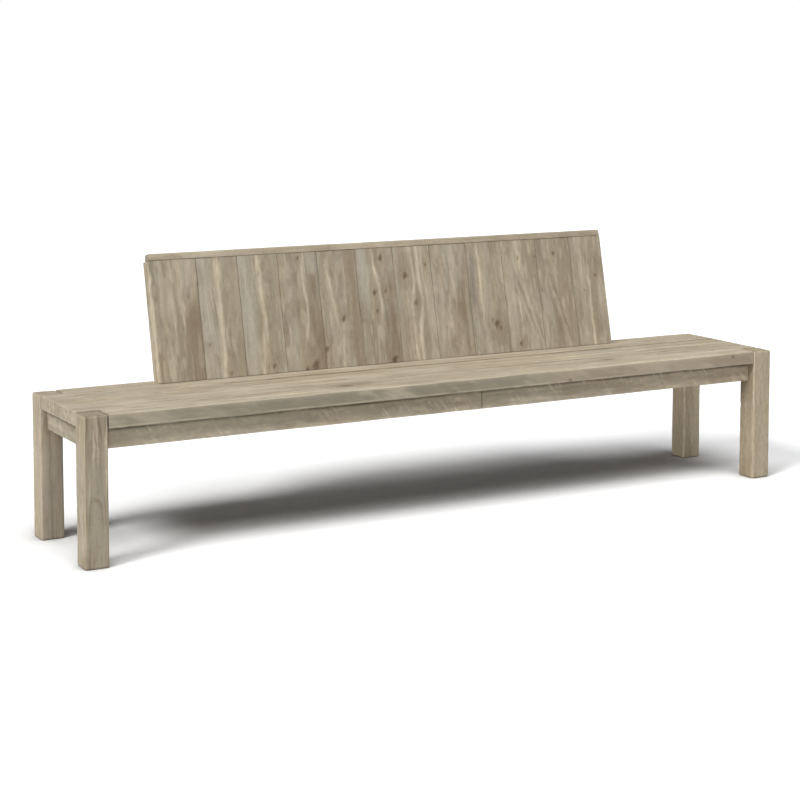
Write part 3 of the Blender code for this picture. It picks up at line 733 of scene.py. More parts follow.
@dataclass(frozen=True)
class WoodFinish(Finish):
    """How a timber's surface was left: planed and weathered, or rough from the saw."""

    ring_contrast: float = 0.30
    fibre_contrast: float = 0.26
    streak_contrast: float = 0.22
    blotch: float = 0.25
    saw_marks: float = 0.0
    mottle: float = 0.22
    arris_tone: float = 0.12
    bump: float = 0.5
    roughness: float = 0.82
    bump_depth: float = 0.0009
    gloss: float = 0.25
    pore_tone: float = -0.16
    knot_share: float = 0.82
    crack_share: float = 0.86
    saw_angle: float = math.radians(52.0)
    greyed: tuple = (0.93, 1.0, 1.07, 1.0)
    scored: tuple = (0.66, 0.61, 0.49, 1.0)
    latewood: tuple = (0.56, 0.49, 0.40, 1.0)
    heart: tuple = (0.36, 0.30, 0.25, 1.0)
    crack: tuple = (0.045, 0.034, 0.022, 1.0)

    def surface(self, pen: Sketch) -> Socket:
        """Draws a Principled shader whose colour, roughness and bump come from the grain.

        Args:
            pen: Draws the nodes.

        Returns:
            The shader.
        """
        grain = self.grain(pen)
        inputs = {"Strength": self.bump, "Distance": self.bump_depth}
        inputs["Height"] = self.height(pen, grain)
        bump = pen.node("ShaderNodeBump", inputs).outputs["Normal"]
        dull = pen.spread(grain.broad, self.roughness - 0.08, min(1.0, self.roughness + 0.10))
        inputs = {
            "Base Color": self.colour(pen, grain),
            "Roughness": dull,
            "Specular IOR Level": self.gloss,
            "Normal": bump,
        }
        return pen.node("ShaderNodeBsdfPrincipled", inputs).outputs["BSDF"]

    def grain(self, pen: Sketch) -> Grain:
        """Draws the fibres, the pores, the latewood lines and the saw's slanting tears.

        Args:
            pen: Draws the nodes.

        Returns:
            The noises.
        """
        fibre = pen.attribute("fibre", "Vector")
        fine = pen.noise(fibre, (7.0, 260.0, 260.0), 4.0, 0.6)
        broad = pen.noise(fibre, (2.2, 46.0, 46.0), 3.0, 0.55)
        ticks = pen.ease(pen.noise(fibre, (26.0, 620.0, 620.0), 2.0), 0.62, 0.74)
        part = pen.math("FRACT", pen.added(fine, 0.35, pen.attribute("growth", "Fac")))
        rings = pen.math("SUBTRACT", pen.ease(part, 0.35, 0.88), pen.ease(part, 0.92, 1.0), clamp=True)
        turn = {"Vector": fibre, "Rotation": (0.0, 0.0, self.saw_angle)}
        slanted = pen.node("ShaderNodeMapping", turn).outputs["Vector"]
        tears = pen.ease(pen.noise(slanted, (14.0, 80.0, 40.0), 4.0, 0.6), 0.50, 0.70)
        patch = pen.ease(pen.noise(fibre, (8.0, 22.0, 22.0), 3.0, 0.6), 0.40, 0.60)
        return Grain(fibre, fine, broad, ticks, rings, pen.times(tears, patch))

    def colour(self, pen: Sketch, grain: Grain) -> Socket:
        """The surface's colour: its stain, weathered and grained, with knots and cracks.

        Args:
            pen: Draws the nodes.
            grain: The noises that the finish shares.

        Returns:
            The colour socket.
        """
        # The stain attribute holds the timber's tones, with the painted shade and highlights laid on them.
        stain = pen.attribute("stain", "Color")
        marks = pen.node("ShaderNodeSeparateColor", {0: pen.attribute("marks", "Color")}).outputs
        lively = pen.attribute("marks", "Alpha")
        place = pen.place()
        cloud = pen.noise(place, (7.0, 7.0, 7.0), 4.0, 0.6)
        mottle = pen.noise(grain.fibre, (46.0, 90.0, 90.0), 5.0, 0.7)
        weather = pen.times(pen.times(pen.ease(cloud, 0.40, 0.68), self.blotch * 2.0), lively)
        tone = pen.blend(weather, stain, pen.blend(1.0, stain, self.greyed, "MULTIPLY"))
        lightness = 0.0
        for part, low, weight in (
            (grain.fine, -1.0, self.fibre_contrast),
            (grain.broad, -1.0, self.streak_contrast * 1.6),
            (cloud, -1.0, self.blotch),
            (grain.saw, -0.35, self.saw_marks),
            (mottle, -1.0, self.mottle),
        ):
            lightness = pen.added(pen.spread(part, low, 1.0), weight, lightness)
        lightness = pen.added(marks["Green"], self.arris_tone, pen.times(lightness, lively))
        lightness = pen.math("ADD", pen.added(grain.ticks, self.pore_tone, lightness), 1.0)
        tone = pen.blend(pen.times(grain.saw, min(1.0, self.saw_marks * 1.5)), tone, self.scored)
        lit = pen.scaled(tone, lightness)
        clear = pen.ease(pen.noise(place, (9.0, 9.0, 9.0), 2.0), 0.38, 0.66)
        late = pen.times(pen.times(pen.times(grain.rings, clear), self.ring_contrast), lively)
        ringed = pen.blend(late, lit, pen.blend(1.0, lit, self.latewood, "MULTIPLY"))
        core = pen.added(pen.noise(place, (240.0, 240.0, 240.0), 3.0, 0.6), 0.5, marks["Red"])
        heart = pen.blend(1.0, ringed, self.heart, "MULTIPLY")
        knotted = pen.blend(pen.times(pen.ease(core, 0.34, 1.40), self.knot_share), ringed, heart)
        return pen.blend(pen.times(marks["Blue"], self.crack_share), knotted, self.crack)

    def height(self, pen: Sketch, grain: Grain) -> Socket:
        """The bump's height: raised latewood, fibres, open pores and saw scores."""
        height = pen.times(grain.rings, 0.35)
        for part, weight in ((grain.fine, 0.45), (grain.broad, 0.40), (grain.ticks, -0.50)):
            height = pen.added(part, weight, height)
        return pen.added(grain.saw, self.saw_marks * 3.0, height)


SEAT_FINISH = WoodFinish("weathered_seat_board", 0.34, 0.14, 0.26, 0.08, 0.0, 0.20, 0.22, 0.35)
GRAINED_FINISH = WoodFinish("weathered_post", 0.58, 0.14, 0.12, 0.06, 0.0, 0.20, 0.14, 0.35)
PLAIN_FINISH = WoodFinish("plain_post", 0.12, 0.10, 0.08, 0.06, 0.0, 0.34, 0.14, 0.35)
BACK_FINISH = WoodFinish("weathered_back_board", 0.26, 0.10, 0.18, 0.10, 0.0, 0.24, -0.10, 0.22)
SAWN_FINISH = WoodFinish("rough_sawn_apron", 0.10, 0.10, 0.10, 0.08, 0.26, 0.24, 0.03, 0.6, 0.88)
HIDDEN_FINISH = WoodFinish("sawn_batten", 0.22, 0.20, 0.18, 0.12, 0.12, 0.20, 0.05, 0.6, 0.86)


@dataclass(frozen=True)
class ZincFinish(Finish):
    """Dull zinc plating with a grain of pale and dark flecks."""

    name: str = "dull_zinc"
    roughness: float = 0.42
    dark: tuple = (0.36, 0.36, 0.37, 1.0)
    pale: tuple = (0.60, 0.60, 0.61, 1.0)

    def surface(self, pen: Sketch) -> Socket:
        """Draws a metal shader with clouded roughness and a fine bump.

        Args:
            pen: Draws the nodes.

        Returns:
            The shader.
        """
        place = pen.place()
        flecks = pen.noise(place, (900.0, 900.0, 900.0), 3.0, 0.6)
        clouds = pen.noise(place, (120.0, 120.0, 120.0), 2.0)
        bump = pen.node("ShaderNodeBump", {"Strength": 0.25, "Distance": 0.0002, "Height": flecks})
        inputs = {
            "Base Color": pen.blend(flecks, self.dark, self.pale),
            "Metallic": 1.0,
            "Roughness": pen.spread(clouds, self.roughness - 0.10, self.roughness + 0.22),
            "Normal": bump.outputs["Normal"],
        }
        return pen.node("ShaderNodeBsdfPrincipled", inputs).outputs["BSDF"]


@dataclass(frozen=True)
class FloorFinish(Finish):
    """A pale floor that the camera sees white where it is lit, with painted contact shade near the feet."""

    name: str = "pale_floor"
    tone: tuple = (0.50, 0.50, 0.50, 1.0)
    white: Triple = (1.290, 1.290, 1.296)
    painted_contact_shade_reach: float = 0.26
    painted_contact_shade_strength: float = 0.95

    def surface(self, pen: Sketch) -> Socket:
        """Draws a matt shader."""
        # Painted contact shade: an ambient occlusion node darkens the floor's seen colour close to the
        # feet.
        near = pen.node("ShaderNodeAmbientOcclusion", {"Distance": self.painted_contact_shade_reach}).outputs["AO"]
        white = pen.scaled(self.white, pen.spread(near, 1.0 - self.painted_contact_shade_strength, 1.0))
        colour = pen.blend(pen.seen(), self.tone, white)
        return pen.node("ShaderNodeBsdfDiffuse", {"Color": colour}).outputs["BSDF"]


# Timbers


# Metres: the least step between grid lines, how near the show face a drying crack reaches, how far
# a raked notch bends the wood beside it, how much lower a knot lies, how far the dark end grain and
# joints reach from an end and from a seam, and where the painted shade under the top fades out.
LEAST_STEP = 0.0006
CRACK_SKIN = 0.0005
NOTCH_REACH = 0.03
KNOT_HOLLOW = 0.0006
END_REACH = 0.004
SEAM_REACH = 0.0020
TOP_SHADE_FADE = (0.0066, 0.0148)
NEARLY = 1e-6

# Shares: the grid lines round an arris and where the worn strip ends, of the arris's radius, and
# the length over which a streak fades at its ends, of the timber's length.
ARRIS_LINES = (0.0, 0.22, 0.55, 1.0)
ARRIS_REACH = 1.3
STREAK_FADE = 0.08
CREASE = math.radians(50.0)


@dataclass(frozen=True)
class Placing:
    """Where a straight timber lies: its corner, and its axes along, across and outwards."""

    corner: Vector
    along: Vector
    across: Vector

    @property
    def axes(self) -> tuple[Vector, Vector, Vector]:
        """The directions along, across and outwards, which is where the show face looks."""
        return self.along, self.across, self.along.cross(self.across)

    def world(self, local: Array) -> Array:
        """World places of points given along, across and outwards, in metres."""
        return local @ np.array(self.axes) + np.array(self.corner)


@dataclass(frozen=True)
class KneedPlacing:
    """Where an upright lies, which bends at a knee: its front and rear lines from the top down."""

    left: float
    lengths: Triple
    front: tuple[tuple[float, float], ...]
    rear: tuple[tuple[float, float], ...]
    depth: float

    def world(self, local: Array) -> Array:
        """Bends points round the knee.

        Args:
            local: Points given down, across and forwards, in metres.

        Returns:
            Their places in the world.
        """
        share = local[:, 2] / self.depth
        places = [self.left + local[:, 1]]
        for rear, front in zip(zip(*self.rear), zip(*self.front)):
            behind = np.interp(local[:, 0], self.lengths, rear)
            ahead = np.interp(local[:, 0], self.lengths, front)
            places.append(behind + (ahead - behind) * share)
        return np.stack(places, axis=1)


AXES = {"x": Vector((1.0, 0.0, 0.0)), "y": Vector((0.0, 1.0, 0.0)), "z": Vector((0.0, 0.0, 1.0))}


def signed_axis(name: str) -> Vector:
    """A world axis from its name, such as +x or -z."""
    return AXES[name[1]] * (1.0 if name[0] == "+" else -1.0)


def placed_in_box(low: Vector, high: Vector, along: str, across: str) -> tuple[Placing, Triple]:
    """Lays a timber in a box that is square to the world.

    Args:
        low: The box's lowest corner.
        high: The box's highest corner.
        along: The signed axis that the grain runs along.
        across: The signed axis across the show face.

    Returns:
        The placing, and the timber's length, width and thickness.
    """
    corner = Vector((0.0, 0.0, 0.0))
    axes = Placing(corner, signed_axis(along), signed_axis(across)).axes
    for axis in axes:
        start = low if sum(axis) > 0 else high
        corner += Vector(a * a * s for a, s in zip(axis, start))
    return Placing(corner, *axes[:2]), tuple(abs((high - low).dot(axis)) for axis in axes)


@dataclass(frozen=True)
class Notch:
    """A cut in a timber, from its low to its high corner in the timber's own axes.

    Rake moves the notch's low side across, for each metre below the show face.
    """

    low: Triple
    high: Triple
    rake: float = 0.0


def grid_lines(length: float, pitch: float, edge: float, extra: list[float]) -> Array:
    """Grid lines over a length, closer together at both worn edges.

    Args:
        length: The stretch's length in metres.
        pitch: The widest step.
        edge: How far the worn edges reach in.
        extra: Lines that must be there.

    Returns:
        The lines' places, in order.
    """
    turn = [edge * share for share in ARRIS_LINES]
    steps = max(2, round((length - 2 * edge) / pitch))
    middle = list(np.linspace(edge, length - edge, steps + 1))
    fixed = turn + [length - place for place in turn] + [e for e in extra if 0.0 <= e <= length]
    loose = [m for m in middle if all(abs(m - f) > LEAST_STEP for f in fixed)]
    return np.unique(np.round(np.array(fixed + loose), 6))


def surface_quads(solid: Array) -> tuple[Array, Array]:
    """The skin of the solid cells of a grid.

    Args:
        solid: Whether each cell is solid, along three axes.

    Returns:
        The grid indices of the skin's vertices, and its quads, facing out.
    """
    shape = np.array(solid.shape) + 1
    padded = np.pad(solid, 1)
    inner = tuple(slice(1, -1) for _ in range(3))
    quads = []
    for axis, step in product(range(3), (1, -1)):
        beyond = np.roll(padded, -step, axis)[inner]
        base = np.argwhere(solid & ~beyond)
        second, third = np.eye(3, dtype=int)[[(axis + 1) % 3, (axis + 2) % 3]]
        if step > 0:
            base[:, axis] += 1
        ring = [base, base + second, base + second + third, base + third]
        if step < 0:
            ring.reverse()
        quads.append(np.stack([np.ravel_multi_index(r.T, shape) for r in ring], axis=1))
    corners, numbered = np.unique(np.concatenate(quads), return_inverse=True)
    return np.stack(np.unravel_index(corners, shape), axis=1), numbered.reshape(-1, 4)


def quad_mesh(name: str, places: Array, quads: Array) -> bpy.types.Mesh:
    """Makes a smooth mesh.

    Args:
        name: The mesh's name.
        places: The vertices' places.
        quads: Four vertices for each face.

    Returns:
        The mesh, sharp where its faces meet steeply.
    """
    mesh = bpy.data.meshes.new(name)
    mesh.vertices.add(len(places))
    mesh.vertices.foreach_set("co", places.astype(np.float32).ravel())
    mesh.loops.add(quads.size)
    mesh.loops.foreach_set("vertex_index", quads.astype(np.int32).ravel())
    mesh.polygons.add(len(quads))
    mesh.polygons.foreach_set("loop_start", np.arange(0, quads.size, 4, dtype=np.int32))
    mesh.update(calc_edges=True)
    mesh.validate()
    mesh.shade_smooth()
    mesh.set_sharp_from_angle(angle=CREASE)
    return mesh


def in_scene(name: str, data: bpy.types.ID) -> bpy.types.Object:
    """Links a mesh, lamp or camera to the scene as an object."""
    made = bpy.data.objects.new(name, data)
    bpy.context.scene.collection.objects.link(made)
    return made


def hand_over(name: str, mesh: bpy.types.Mesh, slot: str, *nodes: str) -> bpy.types.Object:
    """Lets a mesh ride on the bench's body and stand for CAD nodes.

    Args:
        name: The piece's name.
        mesh: Its mesh.
        slot: Not used.
        *nodes: The CAD nodes that it stands for.

    Returns:
        The piece.
    """
    piece = in_scene(name, mesh)
    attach(piece, BODY)
    if nodes:
        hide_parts(*nodes)
    return piece


def store(mesh: bpy.types.Mesh, name: str, kind: str, key: str, values: Array) -> None:
    """Writes one value for each vertex to a named attribute."""
    attribute = mesh.attributes.new(name, kind, "POINT")
    attribute.data.foreach_set(key, values.astype(np.float32).ravel())


@dataclass
class Timber:
    """One length of wood, worn and weathered, that stands for one CAD node.

    Edge is the arrises' radius, pitch the grid's widest steps, relief the depth of the grain.
    Recess sets the show face back, foot_rake slopes the foot, and rear_edge is the share of the
    edge's radius that the rear arrises have. Seam and end tones darken the joints and the end grain,
    and the top tone is painted shade, a dark band under the top. A smooth side shows the calm share of
    the weathering.
    """

    node: str
    placing: Placing | KneedPlacing
    size: Triple
    character: Character
    finish: WoodFinish
    edge: float
    pitch: Triple
    notches: tuple[Notch, ...] = ()
    slot: str = "frame_wood"
    foot_rake: float = 0.0
    recess: float = 0.0
    relief: float = 0.0005
    seam_dark: tuple[float, float] = (0.0, 0.0)
    end_dark: float = 0.14
    unrest: float = 1.0
    smooth_side: bool = False
    calm: float = 0.12
    rear_edge: float = 1.0
    painted_top_shade: float = 0.0

    def build(self) -> bpy.types.Object:
        """Makes the timber's piece and hands it to the frame.

        Returns:
            The finished object.
        """
        lines, solid = self.cells()
        indices, quads = surface_quads(solid)
        square = np.stack([lines[axis][indices[:, axis]] for axis in range(3)], axis=1)
        shaped, arris = self.worn(square)
        for check in self.character.checks:
            shaped[:, 2] -= check.depth * self.check_mask(square, check)
        name = self.node + "_timber"
        mesh = quad_mesh(name, self.placing.world(self.raked(shaped, square)), quads)
        self.store_grain(mesh, square, arris)
        mesh.materials.append(self.finish.material())
        return hand_over(name, mesh, self.slot, self.node)

    def cells(self) -> tuple[list[Array], Array]:
        """Lays out the timber's grid and cuts its notches out.

        Returns:
            The grid lines along each axis, and whether each cell is solid.
        """
        extra: list[list[float]] = [[], [], []]
        for notch, axis in product(self.notches, range(3)):
            extra[axis] += [notch.low[axis], notch.high[axis]]
        for check in self.character.checks:
            middle = check.across * self.size[1]
            extra[1] += [middle - check.width, middle, middle + check.width]
        reach = self.edge * ARRIS_REACH
        lines = [grid_lines(size, pitch, reach, e) for size, pitch, e in zip(self.size, self.pitch, extra)]
        solid = np.ones([len(line) - 1 for line in lines], bool)
        middles = [(line[1:] + line[:-1]) / 2 for line in lines]
        for notch in self.notches:
            inside = [(m > low) & (m < high) for m, low, high in zip(middles, notch.low, notch.high)]
            solid &= ~(inside[0][:, None, None] & inside[1][None, :, None] & inside[2])
        return lines, solid

    def noise(self, square: Array, pattern: Pattern, step: int = 0) -> Array:
        """One of the timber's own noises, as a pattern's number and a step pick it."""
        along, aside, number = pattern.value
        return smooth_noise(square, (along, aside, aside), self.character.seed + number + step)

    def worn(self, square: Array) -> tuple[Array, Array]:
        """Rounds the arrises unevenly and hollows the faces a little.

        Args:
            square: Places on the timber as it was sawn.

        Returns:
            The worn places, and how far round an arris each one lies, from 0 to 1.
        """
        size = np.array(self.size)
        wear = 0.85 + 0.3 * self.noise(square, Pattern.WEAR)
        dents = np.clip(self.noise(square, Pattern.DENTS) - 0.55, 0.0, 1.0)
        forward = soft_step(square[:, 2], size[2] * 0.25, size[2] * 0.60)
        share = self.rear_edge + (1.0 - self.rear_edge) * forward
        radius = (self.edge * share * np.clip(wear + 1.2 * dents, 0.5, 1.3))[:, None]
        core = np.clip(square, radius, size - radius)
        offset = square - core
        reach = np.linalg.norm(offset, axis=1, keepdims=True)
        on_skin = reach >= radius * 0.999
        out = np.where(on_skin, offset / np.maximum(reach, 1e-9), 0.0)
        hollow = self.relief * (0.5 + 0.5 * self.noise(square, Pattern.HOLLOWS))
        hollow += self.relief * 0.6 * (0.5 + 0.5 * self.noise(square, Pattern.RIPPLES))
        hollow += self.recess * np.clip(out[:, 2], 0.0, 1.0)
        for knot in self.character.knots:
            hollow += KNOT_HOLLOW * knot.darkness * self.knot_mask(square, knot)
        worn = np.where(on_skin, core + out * (radius - hollow[:, None]), square)
        arris = 1.0 - soft_step(np.abs(out).max(axis=1), 0.80, 0.995)
        return worn, np.where(on_skin[:, 0], arris, 0.0)

    def check_mask(self, square: Array, check: Check) -> Array:
        """How open a drying crack is.

        Args:
            square: Places on the timber as it was sawn.
            check: The drying crack.

        Returns:
            One share for each place, from 0 to 1.
        """
        along = square[:, 0] / self.size[0]
        middle = (check.start + check.end) / 2
        half = (check.end - check.start) / 2
        taper = np.clip(1.0 - ((along - middle) / half) ** 2, 0.0, 1.0)
        line = np.abs(square[:, 1] - check.across * self.size[1]) < check.width / 2
        return taper * (line & (square[:, 2] > self.size[2] - CRACK_SKIN))

    def raked(self, shaped: Array, square: Array) -> Array:
        """Slopes the foot, and the low side of each raked notch.

        Args:
            shaped: The worn places.
            square: Places on the timber as it was sawn.

        Returns:
            The sloped places.
        """
        length, _, thickness = self.size
        behind = thickness - square[:, 2]
        moved = shaped.copy()
        moved[:, 0] -= self.foot_rake * behind * square[:, 0] / length
        for notch in self.notches:
            if notch.rake:
                near = (square[:, 0] > notch.low[0] - NEARLY) & (square[:, 0] < notch.high[0] + NEARLY)
                reach = soft_step(square[:, 1], notch.low[1] - NOTCH_REACH, notch.low[1])
                front = near & (square[:, 1] < notch.low[1] + NEARLY)
                moved[:, 1] -= notch.rake * behind * reach * front
        return moved

    def beside(self, square: Array, mark: Knot | Figure) -> tuple[Array, Array]:
        """How far along and across each place lies from a mark's middle, in metres."""
        return square[:, 0] - mark.along * self.size[0], square[:, 1] - mark.across * self.size[1]

    def knot_mask(self, square: Array, knot: Knot) -> Array:
        """How far each place lies within a knot, which is longer along the grain.

        Args:
            square: Places on the timber as it was sawn.
            knot: The knot.

        Returns:
            1 inside the knot's own wood and 0 outside, for each place.
        """
        along, across = self.beside(square, knot)
        along = along / 1.5
        across = across + 0.35 * along
        angle = np.arctan2(across, along) + 40.0 * knot.across
        lobes = 1.0 + 0.12 * np.cos(3.0 * angle) + 0.08 * np.cos(5.0 * angle + 80.0 * knot.along)
        ripple = 1.0 + 0.22 * smooth_noise(square, (110.0, 110.0, 80.0), self.character.seed + 5)
        reach = np.hypot(along, across)
        if knot.depth is not None:
            reach = np.hypot(reach, self.size[2] - square[:, 2] - knot.depth)
        return 1.0 - soft_step(reach * ripple / (knot.radius * lobes), 0.15, 1.35)

    def grain_across(self, square: Array) -> Array:
        """Lets the grain wander and bend round the knots.

        Args:
            square: Places on the timber as it was sawn.

        Returns:
            The place across that the grain at each place came from.
        """
        across = square[:, 1] + 0.0045 * self.noise(square, Pattern.BENDS)
        across += 0.0016 * self.noise(square, Pattern.WAVES)
        for knot in self.character.knots:
            along, aside = self.beside(square, knot)
            bend = np.exp(-((along / (knot.radius * 5.0)) ** 2) - (aside / (knot.radius * 2.4)) ** 2)
            across -= aside * ((0.85 if knot.depth is None else 0.0) * bend)
        return across

    def ring_field(self, square: Array, across: Array) -> Array:
        """How many rings out from the pith each place lies.

        Args:
            square: Places on the timber as it was sawn.
            across: The place across after the grain has wandered.

        Returns:
            The number of rings.
        """
        growth = self.character.growth
        share = square[:, 0] / self.size[0] - 0.5
        aside = across - (growth.across * self.size[1] + growth.drift * share)
        deep = square[:, 2] - self.size[2] + growth.depth - growth.rise * share
        rings = np.hypot(aside, deep) / growth.spacing
        for figure in self.character.figures:
            along, aside = self.beside(square, figure)
            rings += figure.rings * np.exp(-((along / figure.length) ** 2) - (aside / figure.width) ** 2)
        rings += growth.unrest * self.noise(square, Pattern.RING_SWAY)
        return rings + 0.3 * growth.unrest * self.noise(square, Pattern.RING_SHAKE)

    def stains_and_painted_light(self, square: Array, across: Array) -> Array:
        """The tone at each place.

        Args:
            square: Places on the timber as it was sawn.
            across: The place across after the grain has wandered.

        Returns:
            The timber's colours, with its weathering, streaks, dark wisps round its knots, dark ends and
            joints, and the painted shade and highlights that some streaks and the top band lay on.
        """
        character = self.character
        length, width, _ = self.size
        tone = self.weathered(square)
        barbs = square @ np.array([[1.0, 0.0, 0.0], [1.6, 1.0, 0.0], [1.6, 0.0, 1.0]])
        barb = 0.0030 * self.noise(barbs, Pattern.BARBS)
        barb += 0.0014 * self.noise(barbs, Pattern.FINE_BARBS)
        for number, streak in enumerate(character.streaks):
            share = self.streak_share(square, across - barb, streak, number)
            tone = laid_over(tone, streak.stain.colour * character.shade, share)
        for knot in character.knots:
            along = self.beside(square, knot)[0] / (knot.radius * 4.0)
            aside = (across - knot.across * width) / (knot.radius * 1.3)
            wisp = 0.40 * knot.darkness * np.exp(-(along**2) - aside**2)
            tone = laid_over(tone, UMBER.colour, wisp * (knot.depth is None))
        near_end = np.minimum(square[:, 0], length - square[:, 0])
        dirt_and_shade = 0.6 + 0.8 * self.noise(square, Pattern.DIRT_AND_SHADE)
        dark = self.end_dark * (1.0 - soft_step(near_end, 0.0, END_REACH))
        for seam, off in zip(self.seam_dark, (square[:, 1], width - square[:, 1])):
            dark += seam * dirt_and_shade * np.exp(-((off / SEAM_REACH) ** 2))
        # Painted shade: a dark band under the top, for the shadow that the seat's overhang casts on the
        # aprons.
        line = 1.0 - soft_step(width - square[:, 1], *TOP_SHADE_FADE)
        dark += self.painted_top_shade * (0.5 + 0.5 * dirt_and_shade) * line
        return tone * (1.0 - np.clip(dark, 0.0, 0.9))[:, None]

    def streak_share(self, square: Array, across: Array, streak: Streak, number: int) -> Array:
        """How strongly one of the timber's streaks covers each place, from 0 to 1.

        Args:
            square: Places on the timber as it was sawn.
            across: The place across that the streak follows.
            streak: The streak.
            number: Its place in the timber's list.

        Returns:
            One share for each place.
        """
        along = square[:, 0] / self.size[0]
        sway = streak.wander * self.noise(square * (1, 0, 0), Pattern.STREAK_SWAY, number)
        middle = streak.across * self.size[1] + streak.drift * (along - 0.5) + sway
        uneven = 0.5 * self.noise(square, Pattern.STREAK_BREAKS, number) - 0.15
        uneven = 1.0 + uneven * self.liveliness(square)
        band = np.exp(-(((across - middle) / streak.width) ** 2))
        if streak.depth is not None:
            band *= np.exp(-(((self.size[2] - square[:, 2] - streak.depth) / streak.sink) ** 2))
        ends = soft_step(along, streak.start - STREAK_FADE, streak.start + STREAK_FADE)
        ends *= 1.0 - soft_step(along, streak.end - STREAK_FADE, streak.end + STREAK_FADE)
        return np.clip(band * ends * uneven * streak.strength, 0.0, 1.0)

    def weathered(self, square: Array) -> Array:
        """The timber's own tone under uneven grey, brown and pale weathering.

        Args:
            square: Places on the timber as it was sawn.

        Returns:
            One colour for each place.
        """
        character = self.character
        tone = np.repeat(character.stain.colour[None], len(square), axis=0) * character.shade
        shift = np.stack([self.noise(square, Pattern.TEARS, axis) for axis in range(3)], axis=1)
        torn = square + shift * np.array([0.030, 0.007, 0.007])
        lively = self.liveliness(square)
        for stain, strength, along, aside, start, number in WEATHERING:
            cloud = smooth_noise(torn, (along, aside, aside), character.seed + number)
            share = strength * self.unrest * (lively * soft_step(cloud, start, start + 0.30))
            tone = laid_over(tone, stain.colour * character.shade, share)
        return tone

    def liveliness(self, square: Array) -> Array:
        """How strongly weathering and grain show: faintly on a side that stayed smooth."""
        inward = soft_step(square[:, 1], self.edge * 0.4, self.edge * ARRIS_REACH)
        return self.calm + (1.0 - self.calm) * inward if self.smooth_side else np.ones(len(square))

    def store_grain(self, mesh: bpy.types.Mesh, square: Array, arris: Array) -> None:
        """Writes the grain to the mesh's attributes, for the finish to read.

        Args:
            mesh: The timber's mesh.
            square: Places on the timber as it was sawn.
            arris: How far round an arris each vertex lies.
        """
        across = self.grain_across(square)
        offset = np.array([0.37, 0.61, 0.83]) * self.character.seed
        fibre = np.stack([square[:, 0], across, square[:, 2]], axis=1) + offset
        knotted = np.zeros(len(square))
        for knot in self.character.knots:
            knotted = np.maximum(knotted, knot.darkness * self.knot_mask(square, knot))
        cracked = np.zeros(len(square))
        for check in self.character.checks:
            cracked = np.maximum(cracked, self.check_mask(square, check))
        marks = np.stack([knotted, arris, cracked, self.liveliness(square)], axis=1)
        stain = np.column_stack([self.stains_and_painted_light(square, across), np.ones(len(square))])
        store(mesh, "fibre", "FLOAT_VECTOR", "vector", fibre)
        store(mesh, "growth", "FLOAT", "value", self.ring_field(square, across))
        store(mesh, "marks", "FLOAT_COLOR", "color", marks)
        store(mesh, "stain", "FLOAT_COLOR", "color", stain)


@dataclass
class SlopedRail(Timber):
    """A rail whose foot is cut level with the seat, so that it is shorter at its rear."""

    slope: float = math.tan(LEAN)

    def raked(self, shaped: Array, square: Array) -> Array:
        """Lifts the foot towards the rear, which is the show face."""
        moved = shaped.copy()
        moved[:, 1] += self.slope * square[:, 2] * (1.0 - square[:, 1] / self.size[1])
        return moved


# The frame


@dataclass
class Posts:
    """The four legs, each with the mortises or the housing that its aprons need."""

    edge: float = 0.0060
    pitch: Triple = (0.005, 0.0024, 0.0024)
    mortise_gap: float = 0.0003

    def build(self) -> Iterator[bpy.types.Object]:
        """Builds the four legs.

        Yields:
            Each finished leg.
        """
        for node, look in POST_LOOKS.items():
            low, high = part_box(node)
            placing, size = placed_in_box(low, high, "-z", "+x")
            finish = GRAINED_FINISH if node.endswith("left") else PLAIN_FINISH
            cuts = tuple(self.cut(apron, low, high, placing) for apron in self.aprons(node))
            post = Timber(node, placing, size, look, finish, self.edge, self.pitch, cuts)
            yield replace(post, end_dark=0.26, unrest=0.42).build()

    @staticmethod
    def aprons(node: str) -> tuple[str, str]:
        """The two aprons that go into a post."""
        _, row, end = node.split("_")
        return "apron_end_" + end, "apron_front_" + end if row == "front" else "apron_rear"

    def cut(self, apron: str, low: Vector, high: Vector, placing: Placing) -> Notch:
        """The cut that takes one apron's tenon or end.

        Args:
            apron: The apron.
            low: The post's lowest corner.
            high: The post's highest corner.
            placing: Where the post's timber lies.

        Returns:
            The notch, in the timber's own axes.
        """
        apron_low, apron_high = Aprons.tenon_box(apron)
        gap = Vector((self.mortise_gap,) * 3)
        inner = (Vector(map(max, low, apron_low - gap)), Vector(map(min, high, apron_high + gap)))
        local = [[(point - placing.corner).dot(axis) for axis in placing.axes] for point in inner]
        return Notch(tuple(np.min(local, axis=0)), tuple(np.max(local, axis=0)))


BEARERS = ("bearer_1", "bearer_2", "bearer_3", "bearer_4")


